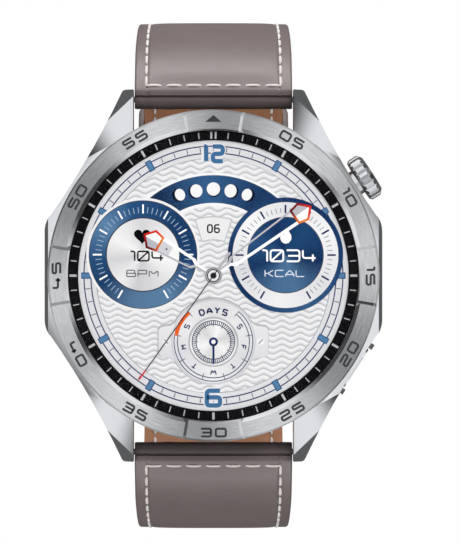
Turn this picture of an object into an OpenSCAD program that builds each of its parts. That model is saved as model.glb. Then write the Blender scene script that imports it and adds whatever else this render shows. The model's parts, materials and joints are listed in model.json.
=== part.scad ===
// Smartwatch with a round screen, a steel case and a buckled leather strap.
// World axes: the screen faces -Y, twelve o'clock points to +Z, the crown is on the +X side.
// The origin is the centre of the flat sensor window on the case back.
// Case pieces are drawn lying down (x right, y to twelve, z out of the screen) and stood up by dial().
// Strap pieces are drawn in the world's YZ plane and extruded across X.

/* [Case] */
// Half width of the case between its flat sides
case_half_w = 23.07; // [22.8:0.01:23.3]
// Height of the case back plane above the sensor window
back_z = 1.5; // [1.4:0.05:1.6]
// Height of the case top, where the bezel ring sits
top_z = 10.4; // [10.3:0.05:10.6]
// Radius of the hole for the screen stack
bore_r = 20.2; // [20.1:0.05:20.4]
// Gap between the lugs, the strap's nominal width
lug_gap = 22; // [21.8:0.1:22.2]

/* [Bezel and glass] */
// Outer radius of the bezel ring
bezel_r = 22.6; // [22.4:0.05:22.8]
// Inner radius of the bezel ring, where the glass sits
bezel_in_r = 19.85; // [19.8:0.01:19.9]
// Height of the low bezel arcs
bezel_low_z = 12.0; // [11.9:0.05:12.1]
// Height of the four raised bezel segments
bezel_high_z = 12.4; // [12.2:0.05:12.6]
// Half angle of a raised bezel segment
segment_half = 9.7; // [8:0.1:11]
// Radius of the cover glass
glass_r = 19.8; // [19.75:0.01:19.82]

/* [Crown and button] */
// Angle of the crown above three o'clock; the button mirrors it
control_angle = 33; // [32:0.5:34]
// Height of the crown and button axes
control_z = 6.6; // [6.4:0.1:6.8]
// Radius of the crown's grip
crown_r = 3.2; // [3:0.05:3.3]
// Number of grooves round the crown
crown_grooves = 22; // [18:1:26]
// Length of the side button
button_len = 6.2; // [6:0.1:6.4]

/* [Strap] */
// Distance of each spring bar from the centre line
bar_z = 24.3; // [24.2:0.05:24.4]
// Depth of the spring bars in front of the sensor window
bar_depth = 3.9; // [3.8:0.05:4]
// Radius of the roll of leather round a spring bar
roll_r = 1.35; // [1.3:0.05:1.4]
// Thickness of the lining
lining_t = 1.0; // [0.9:0.05:1.1]
// Width of the strap at its buckle
end_w = 20.2; // [20:0.1:20.4]

/* [Hidden] */
$fn = 96;
steel = [0.78, 0.79, 0.80];
dark_steel = [0.45, 0.46, 0.48];
leather = [0.52, 0.48, 0.48];
tan = [0.62, 0.41, 0.25];
black = [0.08, 0.08, 0.09];

// Radius of the circle of rear cover screws
rear_screw_r = 19.35;
// Places of the three screws that hold the main board
board_screw_angles = [75, 150, 290];
// Case outline: a small convex corner, a long hollow flank out to the lug, and a small tip radius
flank_r = 95;
flank_c = 118.05 * [cos(32.4), sin(32.4)];
corner_r = 3.6;
corner_y = 6.01;
tip_r = 0.6;
tip_normal = 23.6;
flank_end = flank_c + flank_r * [cos(180 + tip_normal), sin(180 + tip_normal)];
tip_c = flank_end - tip_r * [cos(tip_normal), sin(tip_normal)];
quarter = concat(
    [for (a = [0 : 5.9 : 35.5]) [case_half_w - corner_r, corner_y] + corner_r * [cos(a), sin(a)]],
    [for (a = [215.5 : -1.7 : 204]) flank_c + flank_r * [cos(a), sin(a)]],
    [for (a = [tip_normal : 16.6 : 90]) tip_c + tip_r * [cos(a), sin(a)]]);
last = len(quarter) - 1;
outline = concat(
    quarter,
    [for (i = [last : -1 : 0]) [-quarter[i][0], quarter[i][1]]],
    [for (i = [0 : last]) -quarter[i]],
    [for (i = [last : -1 : 0]) [quarter[i][0], -quarter[i][1]]]);

// Strap centre line: arc A leaves the spring bar and rounds the top, arc B crosses the back
arc_a = [13.6, 13.36];
arc_a_r = 20.64;
arc_b = [6.02, 0];
arc_b_r = 36;
start_angle = 148;
join_angle = 60.43;
// The quick-release lever and its window turn to face the wrist
release_tilt = start_angle - 180;
join_s = arc_a_r * (start_angle - join_angle) * PI / 180;
// Angle on arc B of the two leather flex lines, level with the spring bars
flex_angle = asin(bar_z / arc_b_r);
flex_s = join_s + arc_b_r * (join_angle - flex_angle) * PI / 180;
// Buckle bar, and the far bar of the buckle frame seen from it
bar_angle = -6;
bar_s = join_s + arc_b_r * (join_angle - bar_angle) * PI / 180;
far_bar = [1.05, -10.6];
// Inner and outer faces of the buckle's side arms
arm_in = end_w / 2 + 0.2;
arm_out = arm_in + 1.7;

function line_point(s, off) = s < join_s
    ? arc_a + (arc_a_r + off) * [cos(start_angle - s / arc_a_r * 180 / PI),
                                 sin(start_angle - s / arc_a_r * 180 / PI)]
    : arc_b + (arc_b_r + off) * [cos(join_angle - (s - join_s) / arc_b_r * 180 / PI),
                                 sin(join_angle - (s - join_s) / arc_b_r * 180 / PI)];
// Height of the outer skin above the centre line: full at the lug, thinner from the flex line on
function skin(s) = 2.1 - 0.9 * min(1, s / 42);
// A flex line is cut as a narrow wedge, so both sides can turn ten degrees without touching
function flex_gap(off) = 0.07 + 0.1 * abs(off);
function span(from, to, n) = [for (i = [0 : n]) from + (to - from) * i / n];
// The outer leather and the lining share these stations, so that their faces meet exactly
panel_s = span(1.2, flex_s - 1, 16);
end_s = span(flex_s + 1, bar_s, 12);
function backwards(list) = [for (i = [len(list) - 1 : -1 : 0]) list[i]];
function polar_b(angle, r) = arc_b + r * [cos(angle), sin(angle)];
// The long half climbs from the centre line, over the buckle bar, to lie on the short half
function ease(u) = u <= 0 ? 0 : u >= 1 ? 1 : u * u * (3 - 2 * u);
tail_lie = 2.5;
function tail_r(angle) =
    arc_b_r + (tail_lie + 0.45) * ease((angle + 21.5) / 15) - 0.45 * ease((angle + 5) / 8);
tail_end = 40.5;
// Stations along the long half past its flex line
tail_steps = 32;
// Half thicknesses of the long half, thinning just past its flex line
function tail_out(angle) = 1.1 + 0.2 * (1 - ease((angle + flex_angle) / 12));
function tail_in(angle) = -1.1 - 0.1 * (1 - ease((angle + flex_angle) / 12));

module dial() { rotate([90, 0, 0]) children(); }
module across(w) { rotate([90, 0, 90]) linear_extrude(height = w, center = true) children(); }
module lower() { mirror([0, 0, 1]) children(); }
// Puts the local z axis along a radius of the dial, at the height of the controls
module radial(angle) { rotate([0, 0, angle]) translate([0, 0, control_z]) rotate([0, 90, 0]) children(); }
module ring(r_in, r_out, z0, z1) {
    translate([0, 0, z0]) difference() {
        cylinder(r = r_out, h = z1 - z0);
        translate([0, 0, -1]) cylinder(r = r_in, h = z1 - z0 + 2);
    }
}
module disc(r, z0, z1) { translate([0, 0, z0]) cylinder(r = r, h = z1 - z0); }
module box(x0, x1, y0, y1, z0, z1) { translate([x0, y0, z0]) cube([x1 - x0, y1 - y0, z1 - z0]); }
module four_ways() {
    for (sx = [0, 1], sy = [0, 1]) mirror([sx, 0, 0]) mirror([0, sy, 0]) children();
}
// Cuts away everything beyond a sloping plane; angle is its heading, slope its fall below level
module facet(angle, distance, z, slope) {
    rotate([0, 0, angle]) translate([distance, 0, z]) rotate([0, slope, 0]) translate([-30, -30, 0]) cube(60);
}
module under_facet(angle, distance, z, slope) {
    rotate([0, 0, angle]) translate([distance, 0, z]) rotate([0, -slope, 0])
        translate([-30, -30, -60]) cube(60);
}
// Places a child on arc B: y is radial, z runs along the arc
module on_back(angle, r) {
    translate([0, arc_b[0], 0]) rotate([angle, 0, 0]) translate([0, r, 0]) children();
}
module rod(r, x0, x1) { translate([x0, 0, 0]) rotate([0, 90, 0]) cylinder(r = r, h = x1 - x0, $fn = 48); }
module at_bar() { translate([0, -bar_depth, bar_z]) children(); }
// Narrows the strap from the lugs to the buckle
module taper() {
    intersection() {
        children();
        translate([0, 0, -45]) linear_extrude(height = 90)
            polygon([[-10.85, -8], [10.85, -8], [10.85, 0], [end_w / 2, 27], [end_w / 2, 50],
                     [-end_w / 2, 50], [-end_w / 2, 27], [-10.85, 0]]);
    }
}

// ---- case ----
module middle_case() {
    color(steel) dial() difference() {
        union() {
            translate([0, 0, back_z]) linear_extrude(height = top_z - back_z) polygon(outline);
            for (e = [-1, 1]) button_guard(e * (button_len / 2 + 0.55));
        }
        four_ways() {
            facet(61, 22.4, top_z, 27);
            facet(50.7, 25.85, 8.35, 58);
            facet(0, case_half_w, top_z - 0.5, 45);
            under_facet(0, case_half_w - 0.6, back_z, 50);
            under_facet(33, 22.6, back_z, 50);
            under_facet(90, 25.2, back_z, 50);
        }
        lug_channel();
        mirror([0, 1, 0]) lug_channel();
        disc(bore_r, 4.2, 20);
        disc(17.4, 0, 5);
        disc(20.5, 0, 2.6);
        ring(20.6, 21.4, 9.9, 11);
        ring(17.6, 18.15, 2, 3.0);
        for (a = [45 : 90 : 315]) rotate([0, 0, a]) translate([rear_screw_r, 0, 1])
            cylinder(r = 0.5, h = 3, $fn = 32);
        for (e = [-1, 1]) translate([0, e * bar_z, bar_depth]) rod(0.45, -12.1, 12.1);
        radial(control_angle) translate([0, 0, 18]) cylinder(r = 1.62, h = 8, $fn = 48);
        radial(-control_angle) {
            translate([0, 0, 21.9]) slot_plug(button_len / 2 + 0.1, 1.4, 5);
            for (e = [-1, 1]) translate([0, e * 1.8, 18]) cylinder(r = 0.55, h = 8, $fn = 32);
        }
        translate([-25, -6, 5.2]) rotate([0, 90, 0]) cylinder(r = 0.4, h = 6, $fn = 32);
        for (y = [-3 : 1.6 : 3]) translate([-25, y, 5.2]) rotate([0, 90, 0])
            cylinder(r = 0.5, h = 6, $fn = 32);
    }
}
module lug_channel() {
    translate([0, 0, -1]) linear_extrude(height = 14) difference() {
        translate([-lug_gap / 2, 12]) square([lug_gap, 20]);
        circle(r = 22.0);
    }
}
// A stadium along the tangent, extruded along the radius
module slot_plug(half, r, h) {
    union() {
        translate([-r, -(half - r), 0]) cube([2 * r, 2 * (half - r), h]);
        for (e = [-1, 1]) translate([0, e * (half - r), 0]) cylinder(r = r, h = h, $fn = 32);
    }
}
module button_guard(y) {
    radial(-control_angle) translate([0, y, 22]) difference() {
        translate([-1.5, -0.4, 0]) cube([3, 0.8, 1.75]);
        for (e = [0, 1]) mirror([e, 0, 0]) translate([1.5, -1, 1.15]) rotate([0, -45, 0]) cube([2, 2, 2]);
    }
}
module bezel_ring() {
    color(steel) dial() difference() {
        rotate_extrude()
            polygon([[19.15, top_z + 0.1], [bezel_in_r, top_z + 0.1], [bezel_in_r, top_z],
                     [bezel_r, top_z], [bezel_r, bezel_high_z - 0.25], [bezel_r - 0.25, bezel_high_z],
                     [bezel_in_r + 0.15, bezel_high_z], [bezel_in_r, bezel_high_z - 0.15],
                     [bezel_in_r, 11.12], [19.15, 11.12]]);
        difference() {
            rotate_extrude()
                polygon([[bezel_in_r - 0.3, 11.28], [bezel_in_r + 0.5, bezel_low_z],
                         [bezel_r - 0.2, bezel_low_z], [bezel_r + 0.6, bezel_low_z - 0.8],
                         [bezel_r + 0.6, 13], [bezel_in_r - 0.3, 13]]);
            for (a = [0 : 90 : 270]) rotate([0, 0, a]) segment_wedge();
        }
    }
}
// The space of one raised segment, between two planes that slope down to the low arcs
module segment_wedge() {
    intersection_for (e = [0, 1]) mirror([0, e, 0]) rotate([0, 0, segment_half])
        translate([10, 0, bezel_high_z]) rotate([-45, 0, 0]) translate([0, -20, -20]) cube([15, 40, 20]);
}
module cover_glass() {
    color([0.7, 0.8, 0.85, 0.3]) dial() rotate_extrude()
        polygon([[0, 11.4], [glass_r, 11.4], [glass_r, 11.75], [glass_r - 0.2, 11.95], [0, 11.95]]);
}
module minute_track_ring() { color(black) dial() ring(18.46, 19.82, 11.13, 11.39); }
module front_gasket() { color(black) dial() ring(20.65, 21.35, 9.92, top_z); }
module display_panel() { color([0.15, 0.2, 0.3]) dial() disc(18.9, 10.2, 11.1); }
module display_frame() {
    color(black) dial() difference() {
        disc(20.1, 9.2, 10.19);
        box(-4.5, 4.5, -18.2, -17.2, 8, 11);
    }
}
module display_flex() {
    color([0.7, 0.45, 0.15]) dial() union() {
        box(-4, 4, -17.75, -17.55, 8.2, 10.18);
        box(-4, 4, -17.75, -14, 8.2, 8.4);
    }
}
module antenna_ring() { color([0.75, 0.6, 0.3]) dial() ring(19.3, 20.1, 8.35, 9.18); }
module main_board() {
    color([0.05, 0.3, 0.15]) dial() difference() {
        disc(19.2, 7.4, 8.2);
        rotate([0, 0, control_angle]) box(17.5, 21, -2.5, 2.5, 6, 9);
        // Room for the clips on the button's stems, which dip towards the board's edge at full press
        rotate([0, 0, -control_angle]) box(18.7, 21, -3, 3, 6, 9);
        for (a = board_screw_angles) rotate([0, 0, a]) translate([17.6, 0, 7])
            cylinder(r = 0.6, h = 2, $fn = 32);
    }
}
module processor_shield() {
    color(dark_steel) dial() difference() {
        box(-8, 8, -7, 7, 8.2, 9.15);
        box(-7.8, 7.8, -6.8, 6.8, 8, 8.95);
    }
}
module inner_frame() {
    color([0.2, 0.2, 0.22]) dial() difference() {
        disc(19.6, 6.95, 7.38);
        for (a = board_screw_angles) rotate([0, 0, a]) translate([17.6, 0, 6])
            cylinder(r = 0.42, h = 2, $fn = 32);
        for (a = [-1, 1]) rotate([0, 0, a * control_angle]) box(15.8, 21, -3.6, 3.6, 6, 8);
        box(-11, -7, -17.5, -14.5, 6, 8);
    }
}
module screw(head_r, head_h, shank_r, shank_h) {
    difference() {
        union() {
            translate([0, 0, -head_h]) cylinder(r = head_r, h = head_h, $fn = 32);
            cylinder(r = shank_r, h = shank_h, $fn = 32);
        }
        for (a = [0, 90]) rotate([0, 0, a]) translate([-0.11, -head_r * 0.7, -head_h - 1])
            cube([0.22, head_r * 1.4, 1 + head_h * 0.45]);
    }
}
module board_screws() {
    color(dark_steel) dial() for (a = board_screw_angles) rotate([0, 0, a]) translate([17.6, 0, 8.2])
        mirror([0, 0, 1]) screw(1.0, 0.5, 0.4, 1.2);
}
module battery() {
    color([0.7, 0.72, 0.75]) dial() union() {
        box(-12, 12, -10, 10, 3.1, 6.7);
        box(-4, 4, 10, 10.8, 5.6, 6.7);
    }
}
module vibration_motor() {
    color(steel) dial() union() {
        box(-5, 5, -16.7, -12.3, 4.3, 6.9);
        box(5, 6.2, -15.5, -13.5, 4.3, 4.7);
    }
}
module speaker() {
    color(dark_steel) dial() union() {
        box(-18.2, -14.2, -4.5, 5.5, 4.3, 6.4);
        box(-19.3, -18.2, -3.5, 4, 4.7, 5.9);
    }
}
module microphone() { color([0.8, 0.7, 0.4]) dial() box(-10.5, -7.5, -17, -15, 6.5, 7.4); }
module rear_cover() {
    color(dark_steel) dial() difference() {
        rotate_extrude() polygon([[9.98, 2.6], [9.98, 1.3], [11, 1.3], [11, 0.45], [15, 0.45], [16.5, back_z],
                                  [20.2, back_z], [20.45, 1.75], [20.45, 2.6]]);
        for (a = [45 : 90 : 315]) rotate([0, 0, a]) translate([rear_screw_r, 0, 0]) {
            cylinder(r = 0.55, h = 4, $fn = 32);
            cylinder(r = 1.0, h = 2.05, $fn = 32);
        }
    }
}
module rear_gasket() { color(black) dial() ring(17.65, 18.1, 2.61, 2.98); }
module rear_screws() {
    color(steel) dial() for (a = [45 : 90 : 315]) rotate([0, 0, a]) translate([rear_screw_r, 0, 2.05])
        screw(0.93, 0.5, 0.47, 1.75);
}
module sensor_window() {
    color([0.1, 0.1, 0.12]) dial() rotate_extrude()
        polygon([[0, 0], [9.6, 0], [10.6, 0.2], [10.95, 0.5], [10.95, 1.29], [0, 1.29]]);
}
module light_baffle() {
    color(black) dial() difference() {
        disc(6.2, 1.3, 2.3);
        led_sites() cylinder(r = 1.05, h = 3, $fn = 24);
        diode_sites() translate([-1.05, -1.05, 0]) cube([2.1, 2.1, 3]);
    }
}
module led_sites() { for (a = [0, 180]) rotate([0, 0, a]) translate([1.5, 0, 0]) children(); }
module diode_sites() { for (a = [0 : 90 : 270]) rotate([0, 0, a + 45]) translate([4.3, 0, 0]) children(); }
module sensor_leds() {
    color([0.3, 0.9, 0.4]) dial() led_sites() translate([-0.6, -0.6, 1.6]) cube([1.2, 1.2, 0.69]);
}
module photodiodes() {
    color([0.2, 0.2, 0.3]) dial() diode_sites() translate([-0.85, -0.85, 1.6]) cube([1.7, 1.7, 0.69]);
}
module sensor_board() { color([0.05, 0.3, 0.15]) dial() disc(9.8, 2.3, 2.85); }
module charging_coil() { color([0.8, 0.45, 0.2]) dial() ring(6.6, 9.6, 1.32, 1.75); }
module ferrite_sheet() { color([0.25, 0.22, 0.22]) dial() ring(6.4, 9.8, 1.78, 2.1); }

// ---- crown ----
module crown_tube() {
    color(steel) dial() radial(control_angle) difference() {
        union() {
            translate([0, 0, 20]) cylinder(r = 1.6, h = 3.2, $fn = 48);
            translate([0, 0, 23.15]) cylinder(r = 1.75, h = 0.5, $fn = 48);
        }
        translate([0, 0, 19]) cylinder(r = 0.95, h = 6, $fn = 48);
    }
}
module crown_switch() { color(dark_steel) dial() radial(control_angle) translate([-0.6, -2, 16.2])
    cube([2.1, 4, 1.5]); }
module crown_thrust_washer() {
    color(steel) dial() radial(control_angle) translate([0, 0, 18.12]) cylinder(r = 1.1, h = 0.45, $fn = 48);
}
module crown_stem() {
    color(steel) dial() radial(control_angle) difference() {
        translate([0, 0, 18.6]) cylinder(r = 0.9, h = 6.9, $fn = 48);
        ring(0.6, 2, 19.6, 19.95);
        ring(0.55, 2, 21.5, 22.1);
    }
}
module crown_oring() { color(black) dial() radial(control_angle) ring(0.57, 0.93, 21.52, 22.08); }
module crown_clip() {
    color(dark_steel) dial() radial(control_angle) difference() {
        ring(0.62, 1.45, 19.63, 19.92);
        translate([-0.45, 0, 19]) cube([0.9, 3, 2]);
    }
}
module crown_cap() {
    color(steel) dial() radial(control_angle) difference() {
        union() {
            translate([0, 0, 23.75]) cylinder(r1 = crown_r - 0.35, r2 = crown_r, h = 0.35);
            translate([0, 0, 24.1]) cylinder(r = crown_r, h = 1.2);
            translate([0, 0, 25.3]) cylinder(r1 = crown_r, r2 = crown_r - 0.65, h = 0.6);
        }
        translate([0, 0, 22]) cylinder(r = 2.2, h = 2.35, $fn = 48);
        translate([0, 0, 22]) cylinder(r = 0.92, h = 3.5, $fn = 48);
        for (i = [0 : crown_grooves - 1]) rotate([0, 0, i * 360 / crown_grooves])
            translate([crown_r - 0.25, 0, 23]) rotate([0, 0, -45]) cube([1, 1, 4]);
    }
}

// ---- side button ----
module side_button() {
    color(steel) dial() radial(-control_angle) difference() {
        translate([0, 0, 22.35]) slot_plug(button_len / 2, 1.3, 1.05);
        for (e = [-1, 1]) translate([0, e * 1.8, 22]) cylinder(r = 0.52, h = 0.9, $fn = 32);
    }
}
module button_stems() {
    color(steel) dial() radial(-control_angle) for (e = [-1, 1]) translate([0, e * 1.8, 0]) difference() {
        translate([0, 0, 18.75]) cylinder(r = 0.5, h = 4.15, $fn = 32);
        ring(0.35, 1, 19.35, 19.6);
        ring(0.3, 1, 20.9, 21.3);
    }
}
module button_orings() {
    color(black) dial() radial(-control_angle) for (e = [-1, 1])
        translate([0, e * 1.8, 0]) ring(0.32, 0.53, 20.92, 21.28);
}
module button_clips() {
    color(dark_steel) dial() radial(-control_angle) for (e = [-1, 1])
        translate([0, e * 1.8, 0]) difference() {
        ring(0.37, 0.95, 19.37, 19.58);
        translate([-0.28, 0, 19]) cube([0.56, 2, 1]);
    }
}
module button_switch() { color(dark_steel) dial() radial(-control_angle) translate([-0.6, -2.8, 17])
    cube([2.1, 5.6, 1.4]); }

// ---- strap hardware ----
// The tube, its fixed tip, and the slot where the release pin's lever runs
module spring_bar() {
    at_bar() difference() {
        union() {
            rod(0.75, -10.75, 10.75);
            rod(0.4, 10, 11.85);
        }
        rod(0.45, -12, -3.6);
        rotate([release_tilt, 0, 0]) translate([-7.2, 0, -0.45]) cube([2.9, 3, 0.9]);
    }
}
module quick_release() {
    at_bar() union() {
        rod(0.4, -11.85, -5.3);
        rotate([release_tilt, 0, 0]) {
            translate([-6.6, 0, -0.35]) cube([0.8, 1.9, 0.7]);
            translate([-6.9, 1.5, -0.35]) cube([1.4, 0.45, 0.7]);
        }
    }
}
module release_window() {
    at_bar() rotate([release_tilt, 0, 0]) translate([-7.6, -0.2, -0.9]) cube([4, 6, 1.8]);
}
module spring_bar_upper() { color(steel) spring_bar(); }
module spring_bar_lower() { color(steel) lower() spring_bar(); }
module quick_release_upper() { color(dark_steel) quick_release(); }
module quick_release_lower() { color(dark_steel) lower() quick_release(); }

// ---- leather between the lugs and the flex lines ----
split = -0.2;
lining_off = split - lining_t;
module strap_outer() {
    difference() {
        union() {
            taper() across(30) polygon(concat(
                [line_point(-0.45, skin(0))],
                [for (s = panel_s) line_point(s, skin(s))],
                [line_point(flex_s - flex_gap(1.3), skin(flex_s)), line_point(flex_s - flex_gap(0), 0)],
                [line_point(flex_s - flex_gap(split), split)],
                [for (s = backwards(panel_s)) line_point(s, split)]));
            at_bar() rod(roll_r, -10.85, 10.85);
        }
        at_bar() rod(0.8, -12, 12);
        release_window();
    }
}
module strap_lining() {
    difference() {
        taper() across(30) polygon(concat(
            [for (s = panel_s) line_point(s, split)],
            [line_point(flex_s - flex_gap(split), split)],
            [line_point(flex_s - flex_gap(lining_off), lining_off)],
            [for (s = backwards(panel_s)) line_point(s, lining_off)]));
        at_bar() rod(roll_r, -12, 12);
        release_window();
    }
}
module upper_strap_outer() { color(leather) strap_outer(); }
module upper_strap_lining() { color(tan) strap_lining(); }
module lower_strap_outer() { color(leather) lower() strap_outer(); }
module lower_strap_lining() { color(tan) lower() strap_lining(); }

// ---- short half, from its flex line to the buckle bar ----
module upper_end_outer() {
    color(leather) difference() {
        union() {
            taper() across(30) polygon(concat(
                [line_point(flex_s + flex_gap(split), split), line_point(flex_s + flex_gap(0), 0)],
                [line_point(flex_s + flex_gap(1.3), skin(flex_s))],
                [for (s = end_s) line_point(s, skin(s))],
                [for (s = backwards(end_s)) line_point(s, split)]));
            on_back(bar_angle, arc_b_r) rod(1.7, -end_w / 2, end_w / 2);
        }
        on_back(bar_angle, arc_b_r) rod(0.8, -12, 12);
        on_back(bar_angle, arc_b_r) translate([-1.4, -3, -4]) cube([2.8, 6, 6.2]);
    }
}
module upper_end_lining() {
    color(tan) difference() {
        taper() across(30) polygon(concat(
            [line_point(flex_s + flex_gap(split), split)],
            [for (s = end_s) line_point(s, split)],
            [for (s = backwards(end_s)) line_point(s, lining_off)],
            [line_point(flex_s + flex_gap(lining_off), lining_off)]));
        on_back(bar_angle, arc_b_r) rod(1.72, -12, 12);
        on_back(bar_angle, arc_b_r) translate([-1.4, -3, -4]) cube([2.8, 6, 6.2]);
    }
}
// A closed loop of leather round both halves, between two angles on arc B
module keeper(from, to) {
    n = 4;
    in_r = arc_b_r + lining_off - 0.12;
    out_r = arc_b_r + tail_lie + tail_out(0) + 0.15;
    function side(r, over) = [for (i = [-over : n + over]) polar_b(from + (to - from) * i / n, r)];
    function back(r, over) = [for (i = [n + over : -1 : -over]) polar_b(from + (to - from) * i / n, r)];
    difference() {
        across(end_w + 1.7) polygon(concat(side(out_r + 1, 0), back(in_r - 0.95, 0)));
        across(end_w + 0.3) polygon(concat(side(out_r, 1), back(in_r, 1)));
    }
}
module keeper_fixed() { color(leather) keeper(3, 11); }
module keeper_free() { color(leather) keeper(29.5, 38.3); }

// ---- buckle ----
module buckle_bar() {
    color(steel) on_back(bar_angle, arc_b_r) {
        rod(0.75, -10.2, 10.2);
        rod(0.4, -11.2, 11.2);
    }
}
module buckle_frame() {
    color(steel) on_back(bar_angle, arc_b_r) difference() {
        union() {
            for (e = [0, 1]) mirror([e, 0, 0]) {
                rod(1.4, arm_in, arm_out);
                translate([0, far_bar[0], far_bar[1]]) rod(1.0, arm_in - 0.5, arm_out);
                translate([(arm_in + arm_out) / 2, 0, 0]) across(arm_out - arm_in)
                    polygon([[1.39, 0], [far_bar[0] + 1.0, far_bar[1]],
                             [far_bar[0] - 1.0, far_bar[1]], [-1.39, 0]]);
            }
            translate([0, far_bar[0], far_bar[1]]) across(2 * arm_out)
                polygon([[-0.75, -1.1], [-0.75, 1.1], [0.4, 1.1], [0.8, 0.7], [0.8, -0.7], [0.4, -1.1]]);
        }
        rod(0.45, -20, 20);
        translate([0, far_bar[0] + 1.1, far_bar[1]]) cube([2.4, 0.9, 4], center = true);
    }
}
module buckle_tongue() {
    color(steel) on_back(bar_angle, arc_b_r) difference() {
        union() {
            rod(1.4, -1.15, 1.15);
            across(2.0) polygon([[0.9, -0.9], [2.5, -9.4], [2.5, -12.0], [2.2, -12.4], [1.85, -12.3],
                                 [1.75, -9.3], [-0.3, -1.2]]);
        }
        rod(0.8, -2, 2);
    }
}

// ---- long half, from its flex line over the buckle bar to its tip ----
function tail_angle(i) = -flex_angle + (tail_end + flex_angle) * i / tail_steps;
function tail_point(angle, off) = polar_b(angle, tail_r(angle) + off);
function tail_start(off) = polar_b(-flex_angle + flex_gap(off) * 180 / PI / arc_b_r, arc_b_r + off);
module tail_outer_profile() {
    across(30) polygon(concat(
        [tail_start(0), tail_start(tail_out(-flex_angle))],
        [for (i = [1 : tail_steps]) tail_point(tail_angle(i), tail_out(tail_angle(i)))],
        [for (i = [tail_steps : -1 : 1]) tail_point(tail_angle(i), split)],
        [tail_start(split)]));
}
module tail_lining_profile() {
    across(30) polygon(concat(
        [tail_start(split)],
        [for (i = [1 : tail_steps]) tail_point(tail_angle(i), split)],
        [for (i = [tail_steps : -1 : 1]) tail_point(tail_angle(i), tail_in(tail_angle(i)))],
        [tail_start(tail_in(-flex_angle))]));
}
module tongue_hole() { on_back(bar_angle, arc_b_r) translate([-1.25, -4, -8.2]) cube([2.5, 9, 6.6]); }
// The other punched holes, on either side of the one in use
module spare_holes() {
    for (a = [-37, -28.5, 15.5, 24])
        on_back(a, arc_b_r - 3) rotate([-90, 0, 0]) cylinder(r = 0.9, h = 8, $fn = 32);
}
module tail_tip() {
    on_back(tail_end, arc_b_r) difference() {
        translate([-15, -8, -5]) cube([30, 16, 10]);
        translate([0, -10, -10]) rotate([-90, 0, 0]) cylinder(r = 10.4, h = 20);
    }
}
module lower_end_outer() {
    color(leather) difference() {
        taper() tail_outer_profile();
        tongue_hole();
        spare_holes();
        tail_tip();
    }
}
module lower_end_lining() {
    color(tan) difference() {
        taper() tail_lining_profile();
        tongue_hole();
        spare_holes();
        tail_tip();
    }
}

middle_case();
bezel_ring();
cover_glass();
minute_track_ring();
front_gasket();
display_panel();
display_frame();
display_flex();
antenna_ring();
main_board();
processor_shield();
inner_frame();
board_screws();
battery();
vibration_motor();
speaker();
microphone();
rear_cover();
rear_gasket();
rear_screws();
sensor_window();
light_baffle();
sensor_leds();
photodiodes();
sensor_board();
charging_coil();
ferrite_sheet();
crown_tube();
crown_switch();
button_switch();
crown_thrust_washer();
crown_cap();
crown_stem();
crown_oring();
crown_clip();
side_button();
button_stems();
button_orings();
button_clips();
spring_bar_upper();
quick_release_upper();
upper_strap_outer();
upper_strap_lining();
upper_end_outer();
upper_end_lining();
keeper_fixed();
keeper_free();
buckle_bar();
buckle_frame();
buckle_tongue();
spring_bar_lower();
quick_release_lower();
lower_strap_outer();
lower_strap_lining();
lower_end_outer();
lower_end_lining();
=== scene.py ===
"""Looks of the smartwatch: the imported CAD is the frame, and every piece here is placed from it.

Dial coordinates are millimetres: x to three o'clock, y to twelve, z out of the screen. dial() turns
them into the row frame. Strap coordinates are millimetres too: s along the leather from its spring
bar, off above its middle surface. Clock angles start at twelve and grow clockwise.
"""

import json
from math import asin, atan2, ceil, cos, degrees, pi, radians, sin, sqrt, tan

import bmesh
import bpy
from mathutils import Matrix, Vector

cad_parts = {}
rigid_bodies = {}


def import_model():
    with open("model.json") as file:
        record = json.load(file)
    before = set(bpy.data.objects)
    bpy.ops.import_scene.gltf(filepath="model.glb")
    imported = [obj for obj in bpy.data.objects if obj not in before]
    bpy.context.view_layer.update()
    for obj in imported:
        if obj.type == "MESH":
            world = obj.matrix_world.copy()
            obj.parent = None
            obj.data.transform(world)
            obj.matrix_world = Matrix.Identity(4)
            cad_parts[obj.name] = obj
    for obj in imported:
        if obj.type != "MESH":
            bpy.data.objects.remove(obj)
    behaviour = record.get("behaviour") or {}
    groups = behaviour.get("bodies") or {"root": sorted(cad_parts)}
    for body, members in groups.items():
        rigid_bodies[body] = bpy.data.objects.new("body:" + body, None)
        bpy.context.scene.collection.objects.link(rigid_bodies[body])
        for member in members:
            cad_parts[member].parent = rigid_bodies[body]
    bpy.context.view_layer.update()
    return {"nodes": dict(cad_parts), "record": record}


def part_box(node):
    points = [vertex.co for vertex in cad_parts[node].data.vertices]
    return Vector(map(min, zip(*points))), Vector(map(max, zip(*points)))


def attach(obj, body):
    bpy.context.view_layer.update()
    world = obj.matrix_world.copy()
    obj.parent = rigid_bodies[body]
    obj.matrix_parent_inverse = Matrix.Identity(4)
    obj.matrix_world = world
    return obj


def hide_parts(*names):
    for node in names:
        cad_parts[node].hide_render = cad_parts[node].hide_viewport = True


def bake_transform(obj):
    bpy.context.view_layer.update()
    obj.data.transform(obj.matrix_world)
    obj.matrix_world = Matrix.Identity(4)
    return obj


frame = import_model()
MM = 0.001
JOINTS = {j["name"]: j for j in frame["record"]["behaviour"]["joints"]}


# ---------------------------------------------------------------- sizes from the frame

def reach(node, axis):
    """Largest distance of a node from the origin along one row axis, in millimetres."""
    low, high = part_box(node)
    return max(abs(low[axis]), abs(high[axis])) / MM


def front(node):
    """Height of a node's front face above the sensor window, in dial millimetres."""
    return -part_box(node)[0].y / MM


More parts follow.
